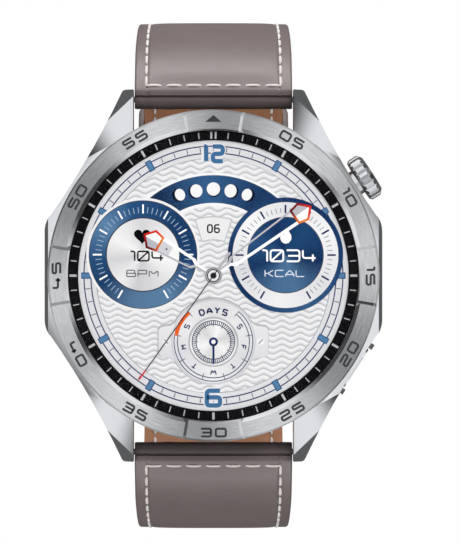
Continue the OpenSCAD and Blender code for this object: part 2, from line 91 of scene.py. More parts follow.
BEZEL_R = reach("bezel_ring", 0)
SCREEN_Z = front("display_panel")
BEZEL_HIGH = front("bezel_ring")
BEZEL_LOW = BEZEL_HIGH - 0.4
TRACK_FRONT = front("minute_track_ring")
DISPLAY_R = 18.46
BAR = Vector(JOINTS["strap_short_pivot"]["pos_m"]) / MM
ARC_B = Vector(JOINTS["keeper_slide"]["pos_m"]) / MM
FLEX = Vector(JOINTS["strap_short_flex"]["pos_m"]) / MM
BUCKLE = Vector(JOINTS["buckle_pivot"]["pos_m"]) / MM
ARC_B_R = (FLEX - ARC_B).length
JOIN = radians(60.43)
LUG_HALF = reach("upper_strap_outer", 0)
END_HALF = reach("lower_end_outer", 0)


# ---------------------------------------------------------------- mesh helpers

def dial(x, y, z):
    """Dial millimetres to the row frame in metres."""
    return Vector((x, -z, y)) * MM


def polar(r, angle, centre=(0, 0)):
    """A point at a clock angle, in dial x and y."""
    return (centre[0] + r * sin(radians(angle)), centre[1] + r * cos(radians(angle)))


def add_mesh(name, verts, faces, material, body="case", smooth=None):
    """A mesh piece riding on a body. smooth is the crease angle in degrees, or None for flat faces."""
    mesh = bpy.data.meshes.new(name)
    mesh.from_pydata([tuple(v) for v in verts], [], faces)
    mesh.update()
    piece = bpy.data.objects.new(name, mesh)
    bpy.context.collection.objects.link(piece)
    mesh.materials.append(material)
    if smooth is not None:
        smooth_by_angle(piece, smooth)
    if body:
        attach(piece, body)
    return piece


def smooth_by_angle(piece, angle):
    """Smooth shading with sharp edges above an angle, stored on the mesh."""
    mesh = piece.data
    work = bmesh.new()
    work.from_mesh(mesh)
    for face in work.faces:
        face.smooth = True
    limit = radians(angle)
    for edge in work.edges:
        edge.smooth = len(edge.link_faces) == 2 and edge.calc_face_angle(pi) < limit
    work.to_mesh(mesh)
    work.free()


def fillet(points, radius, closed=False, steps=4):
    """The polyline with its corners turned into short arcs."""
    if radius <= 0:
        return list(points)
    out = []
    count = len(points)
    for i, p in enumerate(points):
        if not closed and i in (0, count - 1):
            out.append(p)
            continue
        p = Vector(p)
        a = Vector(points[i - 1]) - p
        b = Vector(points[(i + 1) % count]) - p
        turn = a.angle(b)
        if turn > radians(175):
            out.append(tuple(p))
            continue
        cut = min(radius / tan(turn / 2), a.length * 0.48, b.length * 0.48)
        start, end = p + a.normalized() * cut, p + b.normalized() * cut
        for k in range(steps + 1):
            t = k / steps
            out.append(tuple((1 - t) ** 2 * start + 2 * t * (1 - t) * p + t * t * end))
    return out


PLATES = []


class Plate:
    """Collects flat prisms at one height of the dial into a single closed-surface piece."""

    def __init__(self, name, z, thick, material, slot="screen", body="case"):
        self.name, self.z, self.thick = name, z, thick
        self.material, self.slot, self.body = material, slot, body
        self.verts, self.faces = [], []
        PLATES.append(self)

    def polygon(self, points):
        """One prism over a simple outline given anticlockwise or clockwise."""
        area = sum(a[0] * b[1] - b[0] * a[1] for a, b in zip(points, points[1:] + points[:1]))
        loop = list(points) if area > 0 else list(points)[::-1]
        n, base = len(loop), len(self.verts)
        for z in (self.z, self.z + self.thick):
            self.verts += [dial(x, y, z) for x, y in loop]
        self.faces.append(tuple(range(base + n - 1, base - 1, -1)))
        self.faces.append(tuple(range(base + n, base + 2 * n)))
        for i in range(n):
            j = (i + 1) % n
            self.faces.append((base + i, base + j, base + n + j, base + n + i))

    def band(self, left, right, closed=False):
        """A ribbon of quads between two lists of points of the same length."""
        n, base = len(left), len(self.verts)
        for z in (self.z, self.z + self.thick):
            for p, q in zip(left, right):
                self.verts += [dial(p[0], p[1], z), dial(q[0], q[1], z)]
        top = base + 2 * n
        for i in range(n if closed else n - 1):
            a, b = 2 * i, 2 * ((i + 1) % n)
            self.faces.append((top + a, top + a + 1, top + b + 1, top + b))
            self.faces.append((base + a, base + b, base + b + 1, base + a + 1))
            self.faces.append((base + a, top + a, top + b, base + b))
            self.faces.append((base + a + 1, base + b + 1, top + b + 1, top + a + 1))
        if not closed:
            end = 2 * n - 2
            self.faces.append((base, base + 1, top + 1, top))
            self.faces.append((base + end, top + end, top + end + 1, base + end + 1))

    def ring(self, r_in, r_out, centre=(0, 0), start=0, end=360, step=3):
        """A ring or an arc between two clock angles."""
        whole = end - start >= 360
        n = max(2, ceil((end - start) / step))
        angles = [start + (end - start) * i / n for i in range(n if whole else n + 1)]
        inner = [polar(r_in, a, centre) for a in angles]
        outer = [polar(r_out, a, centre) for a in angles]
        self.band(outer, inner, whole)

    def disc(self, r, centre=(0, 0), squash=1.0, tilt=0, n=40):
        """A disc, or an ellipse narrowed along a tilted axis."""
        loop = []
        for i in range(n):
            x, y = r * squash * cos(2 * pi * i / n), r * sin(2 * pi * i / n)
            c, s = cos(radians(tilt)), sin(radians(tilt))
            loop.append((centre[0] + x * c + y * s, centre[1] - x * s + y * c))
        self.polygon(loop)

    def tick(self, r_in, r_out, angle, width, centre=(0, 0)):
        """A short radial bar."""
        across = Vector(polar(1, angle + 90)) * width / 2
        ends = [Vector(polar(r, angle, centre)) for r in (r_in, r_out)]
        corners = (ends[0] - across, ends[0] + across, ends[1] + across, ends[1] - across)
        self.polygon([tuple(p) for p in corners])

    def stroke(self, points, width, closed=False):
        """A line of constant width with mitred corners."""
        n = len(points)
        left, right = [], []
        for i in range(n):
            p = Vector(points[i])
            before = p - Vector(points[i - 1]) if closed or i > 0 else None
            after = Vector(points[(i + 1) % n]) - p if closed or i < n - 1 else None
            d0 = (before or after).normalized()
            d1 = (after or before).normalized()
            mean = (d0 + d1).normalized()
            side = Vector((-mean.y, mean.x)) * (width / 2) / max(0.4, mean.dot(d1))
            left.append(tuple(p + side))
            right.append(tuple(p - side))
        self.band(left, right, closed)

    def write(self, text, centre, height, glyph, gap, line, angle=0, soft=0.25, slant_zero=False):
        """Generic figures and letters, centred on a point and turned clockwise by angle."""
        widths = [glyph * NARROW.get(c, 1) for c in text]
        total = sum(widths) + gap * (len(text) - 1)
        x0 = -total / 2
        c, s = cos(radians(angle)), sin(radians(angle))
        for char, w in zip(text, widths):
            strokes = GLYPHS[char] + ([SLASH] if char == "0" and slant_zero else [])
            for points, closed in strokes:
                placed = []
                for u, v in points:
                    x = x0 + line / 2 + u * (w - line)
                    y = -height / 2 + line / 2 + v * (height - line)
                    placed.append((centre[0] + x * c + y * s, centre[1] - x * s + y * c))
                self.stroke(fillet(placed, soft * height, closed), line, closed)
            x0 += w + gap

    def build(self):
        add_mesh(self.name, self.verts, self.faces, self.material, self.body)


# Each glyph is a list of (points in a unit box, closed) strokes.
GLYPHS = {
    "0": [([(0, 0), (0, 1), (1, 1), (1, 0)], True)],
    "1": [([(0, 1), (1, 1), (1, 0)], False)],
    "2": [([(0, 1), (1, 1), (1, 0.5), (0, 0.5), (0, 0), (1, 0)], False)],
    "3": [([(0, 1), (1, 1), (1, 0), (0, 0)], False), ([(0.12, 0.5), (1, 0.5)], False)],
    "4": [([(0, 1), (0, 0.3), (1.0, 0.3)], False), ([(0.78, 0.62), (0.78, 0)], False)],
    "5": [([(1, 1), (0, 1), (0, 0.55), (1, 0.55), (1, 0), (0, 0)], False)],
    "6": [([(1, 1), (0, 1), (0, 0), (1, 0), (1, 0.55), (0, 0.55)], False)],
    "A": [([(0, 0), (0, 0.35), (0.5, 1), (1, 0.35), (1, 0)], False), ([(0, 0.32), (1, 0.32)], False)],
    "B": [([(0, 0), (0, 1), (0.9, 1), (0.9, 0.52), (0, 0.52)], False),
          ([(0, 0), (1, 0), (1, 0.52), (0.8, 0.52)], False)],
    "C": [([(1, 1), (0, 1), (0, 0), (1, 0)], False)],
    "D": [([(0, 0), (0, 1), (0.7, 1), (1, 0.75), (1, 0.25), (0.7, 0)], True)],
    "F": [([(0, 0), (0, 1), (1, 1)], False), ([(0, 0.5), (0.8, 0.5)], False)],
    "K": [([(0, 0), (0, 1)], False), ([(1, 1), (0.3, 0.5), (1, 0)], False), ([(0, 0.5), (0.35, 0.5)], False)],
    "L": [([(0, 1), (0, 0), (1, 0)], False)],
    "M": [([(0, 0), (0, 1), (0.5, 0.4), (1, 1), (1, 0)], False)],
    "P": [([(0, 0), (0, 1), (1, 1), (1, 0.42), (0, 0.42)], False)],
    "S": [([(1, 1), (0, 1), (0, 0.52), (1, 0.52), (1, 0), (0, 0)], False)],
    "T": [([(0, 1), (1, 1)], False), ([(0.5, 1), (0.5, 0)], False)],
    "W": [([(0, 1), (0.22, 0), (0.5, 0.75), (0.78, 0), (1, 1)], False)],
    "Y": [([(0, 1), (0.5, 0.5), (1, 1)], False), ([(0.5, 0.5), (0.5, 0)], False)],
}
SLASH = ([(0.12, 0.1), (0.88, 0.9)], False)
NARROW = {"1": 0.45}


# ---------------------------------------------------------------- materials

def rgb(r, g, b):
    """Display colour 0 to 255 as a linear RGBA colour."""
    shown = (r / 255, g / 255, b / 255)
    return tuple(c / 12.92 if c <= 0.04 else ((c + 0.055) / 1.055) ** 2.4 for c in shown) + (1,)


class Nodes:
    """A node tree with short ways to add and chain nodes."""

    def __init__(self, tree):
        self.tree = tree

    def node(self, kind, **props):
        made = self.tree.nodes.new(kind)
        for key, value in props.items():
            setattr(made, key, value)
        return made

    def link(self, a, b):
        self.tree.links.new(a, b)

    def feed(self, socket, value):
        """Sets a socket to a plain value, or links it to another node's output."""
        if isinstance(value, (int, float, tuple)):
            socket.default_value = value
        else:
            self.link(value, socket)

    def span(self, value, low, high, out_low=0.0, out_high=1.0, curve="LINEAR"):
        """Turns the range low to high into out_low to out_high, and holds the ends."""
        m = self.node("ShaderNodeMapRange", interpolation_type=curve)
        for socket, v in zip(("From Min", "From Max", "To Min", "To Max"), (low, high, out_low, out_high)):
            m.inputs[socket].default_value = v
        self.link(value, m.inputs["Value"])
        return m.outputs["Result"]

    def math(self, operation, *values):
        m = self.node("ShaderNodeMath", operation=operation)
        for socket, value in zip(m.inputs, values):
            self.feed(socket, value)
        return m.outputs[0]


class Shader(Nodes):
    """A Principled material with small helpers for its procedural nodes."""

    def __init__(self, name, color, rough, metal=0.0, **sockets):
        self.mat = bpy.data.materials.new(name)
        self.mat.use_nodes = True
        super().__init__(self.mat.node_tree)
        self.bsdf = self.tree.nodes["Principled BSDF"]
        self.set("Base Color", color)
        self.set("Roughness", rough)
        self.set("Metallic", metal)
        for key, value in sockets.items():
            self.set(key.replace("_", " "), value)

    def set(self, socket, value):
        self.bsdf.inputs[socket].default_value = value

    def coords(self, scale=(1, 1, 1)):
        """Object coordinates in millimetres, stretched."""
        where = self.node("ShaderNodeTexCoord")
        mapping = self.node("ShaderNodeMapping")
        mapping.inputs["Scale"].default_value = [1000 * s for s in scale]
        self.link(where.outputs["Object"], mapping.inputs["Vector"])
        return mapping.outputs["Vector"]

    def noise(self, scale, detail=3, rough=0.5, stretch=(1, 1, 1)):
        tex = self.node("ShaderNodeTexNoise")
        tex.inputs["Scale"].default_value = scale
        tex.inputs["Detail"].default_value = detail
        tex.inputs["Roughness"].default_value = rough
        self.link(self.coords(stretch), tex.inputs["Vector"])
        return tex.outputs["Fac"]

    def cells(self, scale, stretch=(1, 1, 1), feature="F1"):
        tex = self.node("ShaderNodeTexVoronoi", feature=feature)
        tex.inputs["Scale"].default_value = scale
        self.link(self.coords(stretch), tex.inputs["Vector"])
        return tex.outputs["Distance"]

    def ramp(self, value, stops, interpolation="LINEAR"):
        """stops are (place, colour) pairs."""
        ramp = self.node("ShaderNodeValToRGB")
        ramp.color_ramp.interpolation = interpolation
        while len(ramp.color_ramp.elements) < len(stops):
            ramp.color_ramp.elements.new(0.5)
        for element, (place, color) in zip(ramp.color_ramp.elements, stops):
            element.position, element.color = place, color
        self.link(value, ramp.inputs["Fac"])
        return ramp.outputs["Color"]

    def mix(self, fac, a, b):
        m = self.node("ShaderNodeMix", data_type="RGBA")
        for socket, value in ((m.inputs["Factor"], fac), (m.inputs[6], a), (m.inputs[7], b)):
            self.feed(socket, value)
        return m.outputs[2]

    def color(self, output):
        self.link(output, self.bsdf.inputs["Base Color"])

    def rough(self, output):
        self.link(output, self.bsdf.inputs["Roughness"])

    def bump(self, height, strength, distance_mm):
        b = self.node("ShaderNodeBump")
        b.inputs["Strength"].default_value = strength
        b.inputs["Distance"].default_value = distance_mm * MM
        self.link(height, b.inputs["Height"])
        self.link(b.outputs["Normal"], self.bsdf.inputs["Normal"])

    def axes(self):
        """Object x, y and z in millimetres."""
        split = self.node("ShaderNodeSeparateXYZ")
        self.link(self.coords(), split.inputs[0])
        return split.outputs

    def turn(self, centre=(0, 0)):
        """0 to 1 once round a point of the dial, clockwise from six o'clock."""
        x, _, z = self.axes()
        flat = self.node("ShaderNodeCombineXYZ")
        self.link(self.math("SUBTRACT", z, centre[1]), flat.inputs[0])
        self.link(self.math("SUBTRACT", x, centre[0]), flat.inputs[1])
        tex = self.node("ShaderNodeTexGradient", gradient_type="RADIAL")
        self.link(flat.outputs[0], tex.inputs[0])
        return tex.outputs["Fac"]


def steel_brushed(name, color, rough, streak):
    """Brushed steel: long fine scratches along one axis."""
    m = Shader(name, color, rough, 1.0)
    grain = m.noise(1.0, 3, 0.6, streak)
    m.rough(m.span(grain, 0.3, 0.7, rough - 0.05, rough + 0.08))
    shade = tuple(c * 0.86 for c in color[:3]) + (1,)
    m.color(m.mix(m.span(grain, 0.35, 0.65), shade, color))
    m.bump(grain, 0.12, 0.02)
    return m.mat


def steel_bezel():
    """Circular brushing on the flats, with polished chamfers and satin sides."""
    m = Shader("bezel_steel", rgb(214, 215, 217), 0.4, 1.0)
    x, _, z = m.axes()
    radius = m.math("SQRT", m.math("ADD", m.math("MULTIPLY", x, x), m.math("MULTIPLY", z, z)))
    tex = m.node("ShaderNodeTexNoise", noise_dimensions="2D")
    tex.inputs["Scale"].default_value = 1.0
    tex.inputs["Detail"].default_value = 4
    spot = m.node("ShaderNodeCombineXYZ")
    m.link(m.math("MULTIPLY", radius, 11.0), spot.inputs[0])
    m.link(m.math("MULTIPLY", m.turn(), 60.0), spot.inputs[1])
    m.link(spot.outputs[0], tex.inputs["Vector"])
    grain = tex.outputs["Fac"]
    normal = m.node("ShaderNodeNewGeometry").outputs["True Normal"]
    split = m.node("ShaderNodeSeparateXYZ")
    m.link(normal, split.inputs[0])
    flat = m.span(m.math("ABSOLUTE", split.outputs[1]), 0.93, 0.98)
    m.link(m.math("MULTIPLY", flat, 0.98), m.bsdf.inputs["Anisotropic"])
    tangent = m.node("ShaderNodeTangent", direction_type="RADIAL", axis="Y")
    m.link(tangent.outputs[0], m.bsdf.inputs["Tangent"])
    m.set("Anisotropic Rotation", 0.25)
    brushed = m.span(grain, 0.3, 0.7, 0.27, 0.33)
    outer = m.span(radius, BEZEL_R - 0.6, BEZEL_R - 0.4, 0.1, 0.38)
    m.rough(m.mix(flat, outer, brushed))
    streaks = m.math("MULTIPLY", flat, m.span(grain, 0.35, 0.65))
    m.color(m.mix(streaks, rgb(198, 199, 201), rgb(182, 183, 186)))
    m.bump(grain, 0.04, 0.006)
    return m.mat


def steel_polished(name, color, rough=0.08):
    m = Shader(name, color, rough, 1.0)
    smudge = m.noise(0.35, 3, 0.6)
    m.rough(m.span(smudge, 0.35, 0.7, rough, rough + 0.06))
    return m.mat


def steel_case():
    """Polished flats with a slight crown, and a satin side wall."""
    m = Shader("case_steel", rgb(205, 207, 210), 0.12, 1.0)
    normal = m.node("ShaderNodeNewGeometry").outputs["True Normal"]
    split = m.node("ShaderNodeSeparateXYZ")
    m.link(normal, split.inputs[0])
    forward = m.math("ABSOLUTE", split.outputs[1])
    side = m.span(forward, 0.15, 0.35, 1.0, 0.0)
    grain = m.noise(1.0, 3, 0.6, (0.5, 9.0, 0.5))
    rough = m.math("ADD", m.math("MULTIPLY", side, 0.2), m.span(grain, 0.3, 0.7, 0.09, 0.15))
    m.rough(rough)
    streaks = m.math("MULTIPLY", side, m.span(grain, 0.35, 0.65))
    m.color(m.mix(streaks, rgb(194, 196, 199), rgb(178, 180, 184)))
    x, _, z = m.axes()
    outward = m.node("ShaderNodeCombineXYZ")
    for value, middle, bend, socket in ((x, 14, 0.035, 0), (z, 20.5, 0.03, 2)):
        away = m.math("SUBTRACT", value, m.math("MULTIPLY", m.math("SIGN", value), middle))
        m.link(m.math("MULTIPLY", away, bend), outward.inputs[socket])
    crown = m.node("ShaderNodeVectorMath", operation="ADD")
    m.link(m.node("ShaderNodeNewGeometry").outputs["Normal"], crown.inputs[0])
    m.link(outward.outputs[0], crown.inputs[1])
    unit = m.node("ShaderNodeVectorMath", operation="NORMALIZE")
    m.link(crown.outputs[0], unit.inputs[0])
    m.link(unit.outputs[0], m.bsdf.inputs["Normal"])
    return m.mat


def leather_grain(name, light, dark, rough, pore=1.0, sheen=0.15):
    """Smooth full-grain leather: shallow pebbles, fine pores, slow blotches of tone and gloss."""
    m = Shader(name, light, rough, 0.0)
    m.set("Sheen Weight", sheen)
    m.set("Sheen Roughness", 0.4)
    m.set("Specular IOR Level", 0.5)
    blotch = m.noise(0.12, 4, 0.6)
    pebbles = m.cells(2.6 * pore, feature="SMOOTH_F1")
    pores = m.noise(9.0 * pore, 2, 0.7)
    creases = m.noise(0.9, 6, 0.7, (0.6, 1.5, 1.5))
    tone = m.math("ADD", m.math("MULTIPLY", blotch, 0.6), m.math("MULTIPLY", creases, 0.4))
    m.color(m.mix(m.span(tone, 0.3, 0.72), dark, light))
    handled = m.span(blotch, 0.3, 0.7, rough - 0.02, rough + 0.03)
    m.rough(m.math("ADD", handled, m.span(pores, 0.3, 0.7, -0.03, 0.03)))
    height = m.math("ADD", m.math("MULTIPLY", pebbles, 0.5), m.math("MULTIPLY", pores, 0.3))
    m.bump(m.math("ADD", height, m.math("MULTIPLY", creases, 0.15)), 0.3, 0.05)
    return m.mat


def thread_material():
    """Waxed thread: off-white strands wound at a slant."""
    m = Shader("thread_waxed", rgb(226, 220, 214), 0.6, 0.0)
    twist = m.node("ShaderNodeTexWave", wave_type="BANDS", bands_direction="DIAGONAL")
    twist.inputs["Scale"].default_value = 3.2
    m.link(m.coords(), twist.inputs["Vector"])
    m.color(m.mix(twist.outputs["Fac"], rgb(182, 176, 172), rgb(218, 214, 210)))
    m.bump(twist.outputs["Fac"], 0.5, 0.04)
    m.set("Sheen Weight", 0.3)
    return m.mat


def plain(name, color, rough, metal=0.0, grain=6.0, depth=0.3, **sockets):
    """Moulded or turned surfaces: fine tooth in gloss and height."""
    m = Shader(name, color, rough, metal, **sockets)
    tooth = m.noise(grain, 3, 0.6)
    m.rough(m.span(tooth, 0.3, 0.7, max(0.02, rough - 0.06), rough + 0.06))
    m.bump(tooth, depth, 0.01)
    return m.mat


def printed(name, color, rough=0.45, glow=0.0):
    """Colour shown by the screen: a faint grid of dots keeps it from being flat."""
    m = Shader(name, color, rough, 0.0)
    x, _, z = m.axes()
    dots = m.math("MULTIPLY", m.math("SINE", m.math("MULTIPLY", x, 2 * pi / 0.08)),
                  m.math("SINE", m.math("MULTIPLY", z, 2 * pi / 0.08)))
    dim = tuple(c * 0.95 for c in color[:3]) + (1,)
    m.color(m.mix(m.span(dots, -1, 1), dim, color))
    m.set("Specular IOR Level", 0.02)
    if glow:
        m.set("Emission Color", color)
        m.set("Emission Strength", glow)
    return m


def conic(name, centre, stops, glow=0.0):
    """A screen colour that sweeps round a point, like spun metal. A stop is (clock angle, red, green, blue)."""
    m = Shader(name, rgb(*stops[0][1:]), 0.45, 0.0)
    m.set("Specular IOR Level", 0.02)
    turn = m.turn(centre)
    placed = sorted(((a + 180) % 360 / 360, rgb(*c)) for a, *c in stops)
    ends = [(0.0, blend_at(placed, 0.0)), *placed, (1.0, blend_at(placed, 0.0))]
    colour = m.ramp(turn, ends)
    m.color(colour)
    if glow:
        m.link(colour, m.bsdf.inputs["Emission Color"])
        m.set("Emission Strength", glow)
    return m.mat


def blend_at(stops, place):
    """Colour of a wrapped ramp at a place."""
    before = [(p - 1, c) for p, c in stops] + list(stops)
    after = list(stops) + [(p + 1, c) for p, c in stops]
    p0, c0 = max((s for s in before if s[0] <= place), key=lambda s: s[0])
    p1, c1 = min((s for s in after if s[0] >= place), key=lambda s: s[0])
    t = 0 if p1 == p0 else (place - p0) / (p1 - p0)
    return tuple(a + (b - a) * t for a, b in zip(c0, c1))


NAVY = rgb(26, 38, 92)
WHITE = rgb(252, 252, 252)
BLACK = rgb(8, 8, 10)
GLOW = 0.2


# ---------------------------------------------------------------- the screen picture

def layer(name, z, thick, color, glow=GLOW):
    """A plate in one colour of the screen."""
    return Plate(name, z, thick, printed(name, color, glow=glow).mat)


WAVE_PITCH = 0.81
WAVE_LENGTH = 2.49
WAVE_SWING = 0.23
WAVE_R = 16.0


def wave_material():
    """Engraved waves: white crests with a soft grey shade under each."""
    m = Shader("screen_waves", WHITE, 0.5, 0.0)
    m.set("Specular IOR Level", 0.15)
    x, _, z = m.axes()
    swing = m.math("MULTIPLY", m.math("SINE", m.math("MULTIPLY", x, 2 * pi / WAVE_LENGTH)), WAVE_SWING)
    phase = m.math("FRACT", m.math("DIVIDE", m.math("ADD", z, swing), WAVE_PITCH))
    shade = m.ramp(phase, [(0.0, rgb(205, 205, 208)), (0.14, rgb(196, 196, 199)), (0.34, rgb(226, 226, 228)),
                           (0.62, rgb(240, 240, 241)), (0.88, rgb(246, 246, 247)), (1.0, rgb(208, 208, 211))])
    m.color(shade)
    m.link(shade, m.bsdf.inputs["Emission Color"])
    m.set("Emission Strength", GLOW)
    return m.mat


def wave_plate(z):
    """The waved ground as a relief: rows of crests over a round plate."""
    rows, columns = 200, 130
    verts, faces = [], []
    for j in range(rows + 1):
        y = WAVE_R * (2 * j / rows - 1) * 0.9995
        half = sqrt(max(0.0, WAVE_R ** 2 - y * y))
        for i in range(columns + 1):
            x = half * (2 * i / columns - 1)
            phase = ((y + WAVE_SWING * sin(2 * pi * x / WAVE_LENGTH)) / WAVE_PITCH) % 1.0
            rise = 0.012 * sin(pi * phase)
            inside = 1 if 0 < i < columns and 0 < j < rows else 0
            verts.append(dial(x, y, z + 0.02 + rise * inside))
    width = columns + 1
    for j in range(rows):
        for i in range(columns):
            a = j * width + i
            faces.append((a, a + 1, a + width + 1, a + width))
    rim = list(range(width))
    rim += [j * width + columns for j in range(1, rows + 1)]
    rim += [rows * width + i for i in range(columns - 1, -1, -1)]
    rim += [j * width for j in range(rows - 1, 0, -1)]
    base = len(verts)
    verts += [Vector((verts[i].x, -z * MM, verts[i].z)) for i in rim]
    n = len(rim)
    for k in range(n):
        j = (k + 1) % n
        faces.append((rim[k], base + k, base + j, rim[j]))
    faces.append(tuple(range(base + n - 1, base - 1, -1)))
    return add_mesh("screen_waves", verts, faces, wave_material(), smooth=40)


def screen_ground(z):
    """Silver rim of the picture, its groove, and the waved centre."""
    rim = layer("screen_rim", z, 0.02, rgb(228, 228, 231))
    rim.ring(WAVE_R, DISPLAY_R - 0.02, step=2)
    wave_plate(z)
    groove = layer("screen_groove", z + 0.021, 0.006, rgb(176, 176, 182))
    groove.ring(WAVE_R - 0.08, WAVE_R + 0.04, step=2)


def minute_circles(z):
    """Two thin navy circles joined by a tick every minute, with blue hour blocks."""
    lines = layer("screen_minutes", z, 0.01, NAVY)
    for r in (16.7, 17.65):
        lines.ring(r - 0.075, r + 0.075, step=2)
    for i in range(60):
        lines.tick(16.85, 17.5, i * 6, 0.1)
    dark = layer("screen_block_edges", z + 0.01, 0.01, rgb(48, 84, 128))
    pale = layer("screen_block_faces", z + 0.012, 0.01, rgb(84, 130, 172))
    for hour in (1, 2, 3, 4, 5, 7, 8, 9, 10, 11):
        dark.tick(16.5, 18.02, hour * 30, 0.86)
        pale.tick(16.62, 17.9, hour * 30, 0.58)


def twelve_and_six(z):
    """The two big blue figures, over a pale halo that clears the circles."""
    halo = layer("screen_figure_halo", z, 0.008, rgb(240, 240, 242))
    halo.write("12", (0, 16.6), 2.95, 2.2, 0.2, 0.95, soft=0.18)
    halo.write("6", (0, -16.7), 2.95, 2.75, 0.2, 0.95, soft=0.18)
    figures = layer("screen_figures", z + 0.01, 0.012, rgb(66, 114, 158))
    figures.write("12", (0, 16.6), 2.6, 1.95, 0.32, 0.6, soft=0.16)
    figures.write("6", (0, -16.7), 2.6, 2.4, 0.32, 0.6, soft=0.16)


def moon_band(z):
    """Blue arc with white rims and the five moons."""
    white = printed("screen_white", WHITE, glow=GLOW).mat
    rims = Plate("screen_band_rims", z, 0.014, white)
    rims.ring(9.5, 14.02, start=-62, end=62)
    sweep = conic("screen_band_blue", (0, 0), [(-60, 46, 88, 132), (-36, 16, 42, 76), (-4, 52, 94, 140),
                                               (30, 22, 54, 94), (60, 34, 76, 124),
                                               (180, 16, 58, 118)], GLOW)
    band = Plate("screen_band", z + 0.016, 0.012, sweep)
    band.ring(9.92, 13.7, start=-60, end=60)
    shadow = layer("screen_moon_shadows", z + 0.03, 0.008, rgb(8, 20, 46), glow=0.05)
    moons = Plate("screen_moons", z + 0.04, 0.012, white)
    for x, y, wide, tall in ((0, 11.81, 0.91, 0.91), (2.33, 11.55, 0.82, 0.9), (4.56, 11.03, 0.68, 0.82)):
        for side in ((-1, 1) if x else (1,)):
            lean = degrees(atan2(x, y)) * side
            under = (side * (1.06 * x + 0.05), y - 0.1)
            shadow.disc(tall + 0.08, under, (wide + 0.06) / (tall + 0.08), lean)
            moons.disc(tall, (side * x, y), wide / tall, lean)


def date_fan(z):
    """Fan-shaped window with the day of the month."""
    edge = layer("screen_date_edge", z, 0.01, rgb(196, 196, 200))
    face = layer("screen_date_face", z + 0.011, 0.01, rgb(240, 240, 241))
    for plate, grow in ((edge, 0.16), (face, 0.0)):
        half = 17.5 + grow * 8
        plate.ring(4.95 - grow, 7.95 + grow, start=-half, end=half)
    figures = layer("screen_date", z + 0.022, 0.01, BLACK, glow=0)
    figures.write("06", (0, 6.4), 1.24, 0.82, 0.14, 0.2, soft=0.28)


def subdial_left(z):
    """Heart rate: spun blue ring with white ticks round a silver disc."""
    c = (-9.6, 2.86)
    rim = layer("heart_rim", z, 0.012, rgb(244, 244, 245))
    rim.disc(7.75, c, n=96)
    line = layer("heart_lines", z + 0.014, 0.006, rgb(60, 66, 84))
    line.ring(7.28, 7.4, c)
    line.ring(4.9, 5.14, c)
    blue = conic("heart_blue", c, [(-50, 92, 132, 170), (-15, 40, 82, 128), (45, 22, 60, 102),
                                   (95, 24, 62, 106), (150, 88, 126, 162), (190, 84, 120, 154),
                                   (235, 20, 58, 100), (265, 38, 78, 122)], GLOW)
    ring = Plate("heart_ring", z + 0.014, 0.01, blue)
    ring.ring(5.1, 7.3, c)
    major = layer("heart_major_ticks", z + 0.026, 0.006, WHITE, glow=0.4)
    minor = layer("heart_minor_ticks", z + 0.026, 0.006, rgb(164, 186, 212))
    for i in range(-25, 26):
        angle = i * 6
        if i % 5 == 0:
            major.tick(5.62, 6.85, angle, 0.22, c)
        else:
            minor.tick(5.68, 6.5, angle, 0.1, c)
    silver = conic("heart_silver", c, [(-60, 246, 246, 246), (-100, 214, 214, 216), (-140, 238, 238, 239),
                                       (0, 216, 216, 218), (45, 236, 236, 237), (100, 250, 250, 250),
                                       (150, 222, 222, 224), (190, 206, 206, 209)], GLOW)
    disc = Plate("heart_disc", z + 0.022, 0.01, silver)
    disc.disc(4.93, c, n=72)
    ink = layer("heart_ink", z + 0.034, 0.008, BLACK, glow=0)
    ink.polygon(heart_outline((-9.71, 5.42), 1.12))
    ink.write("104", (-9.07, 2.66), 1.5, 1.75, 0.2, 0.22, soft=0.2, slant_zero=True)
    label = layer("heart_label", z + 0.034, 0.008, rgb(92, 92, 96), glow=0.1)
    label.write("BPM", (-9.68, 0.3), 0.99, 1.34, 0.19, 0.14, soft=0.18)


def heart_outline(centre, size):
    """A plain heart."""
    points = []
    for i in range(48):
        t = 2 * pi * i / 48
        x = 16 * sin(t) ** 3
        y = 13 * cos(t) - 5 * cos(2 * t) - 2 * cos(3 * t) - cos(4 * t)
        points.append((centre[0] + x * size / 16, centre[1] + y * size / 16))
    return points


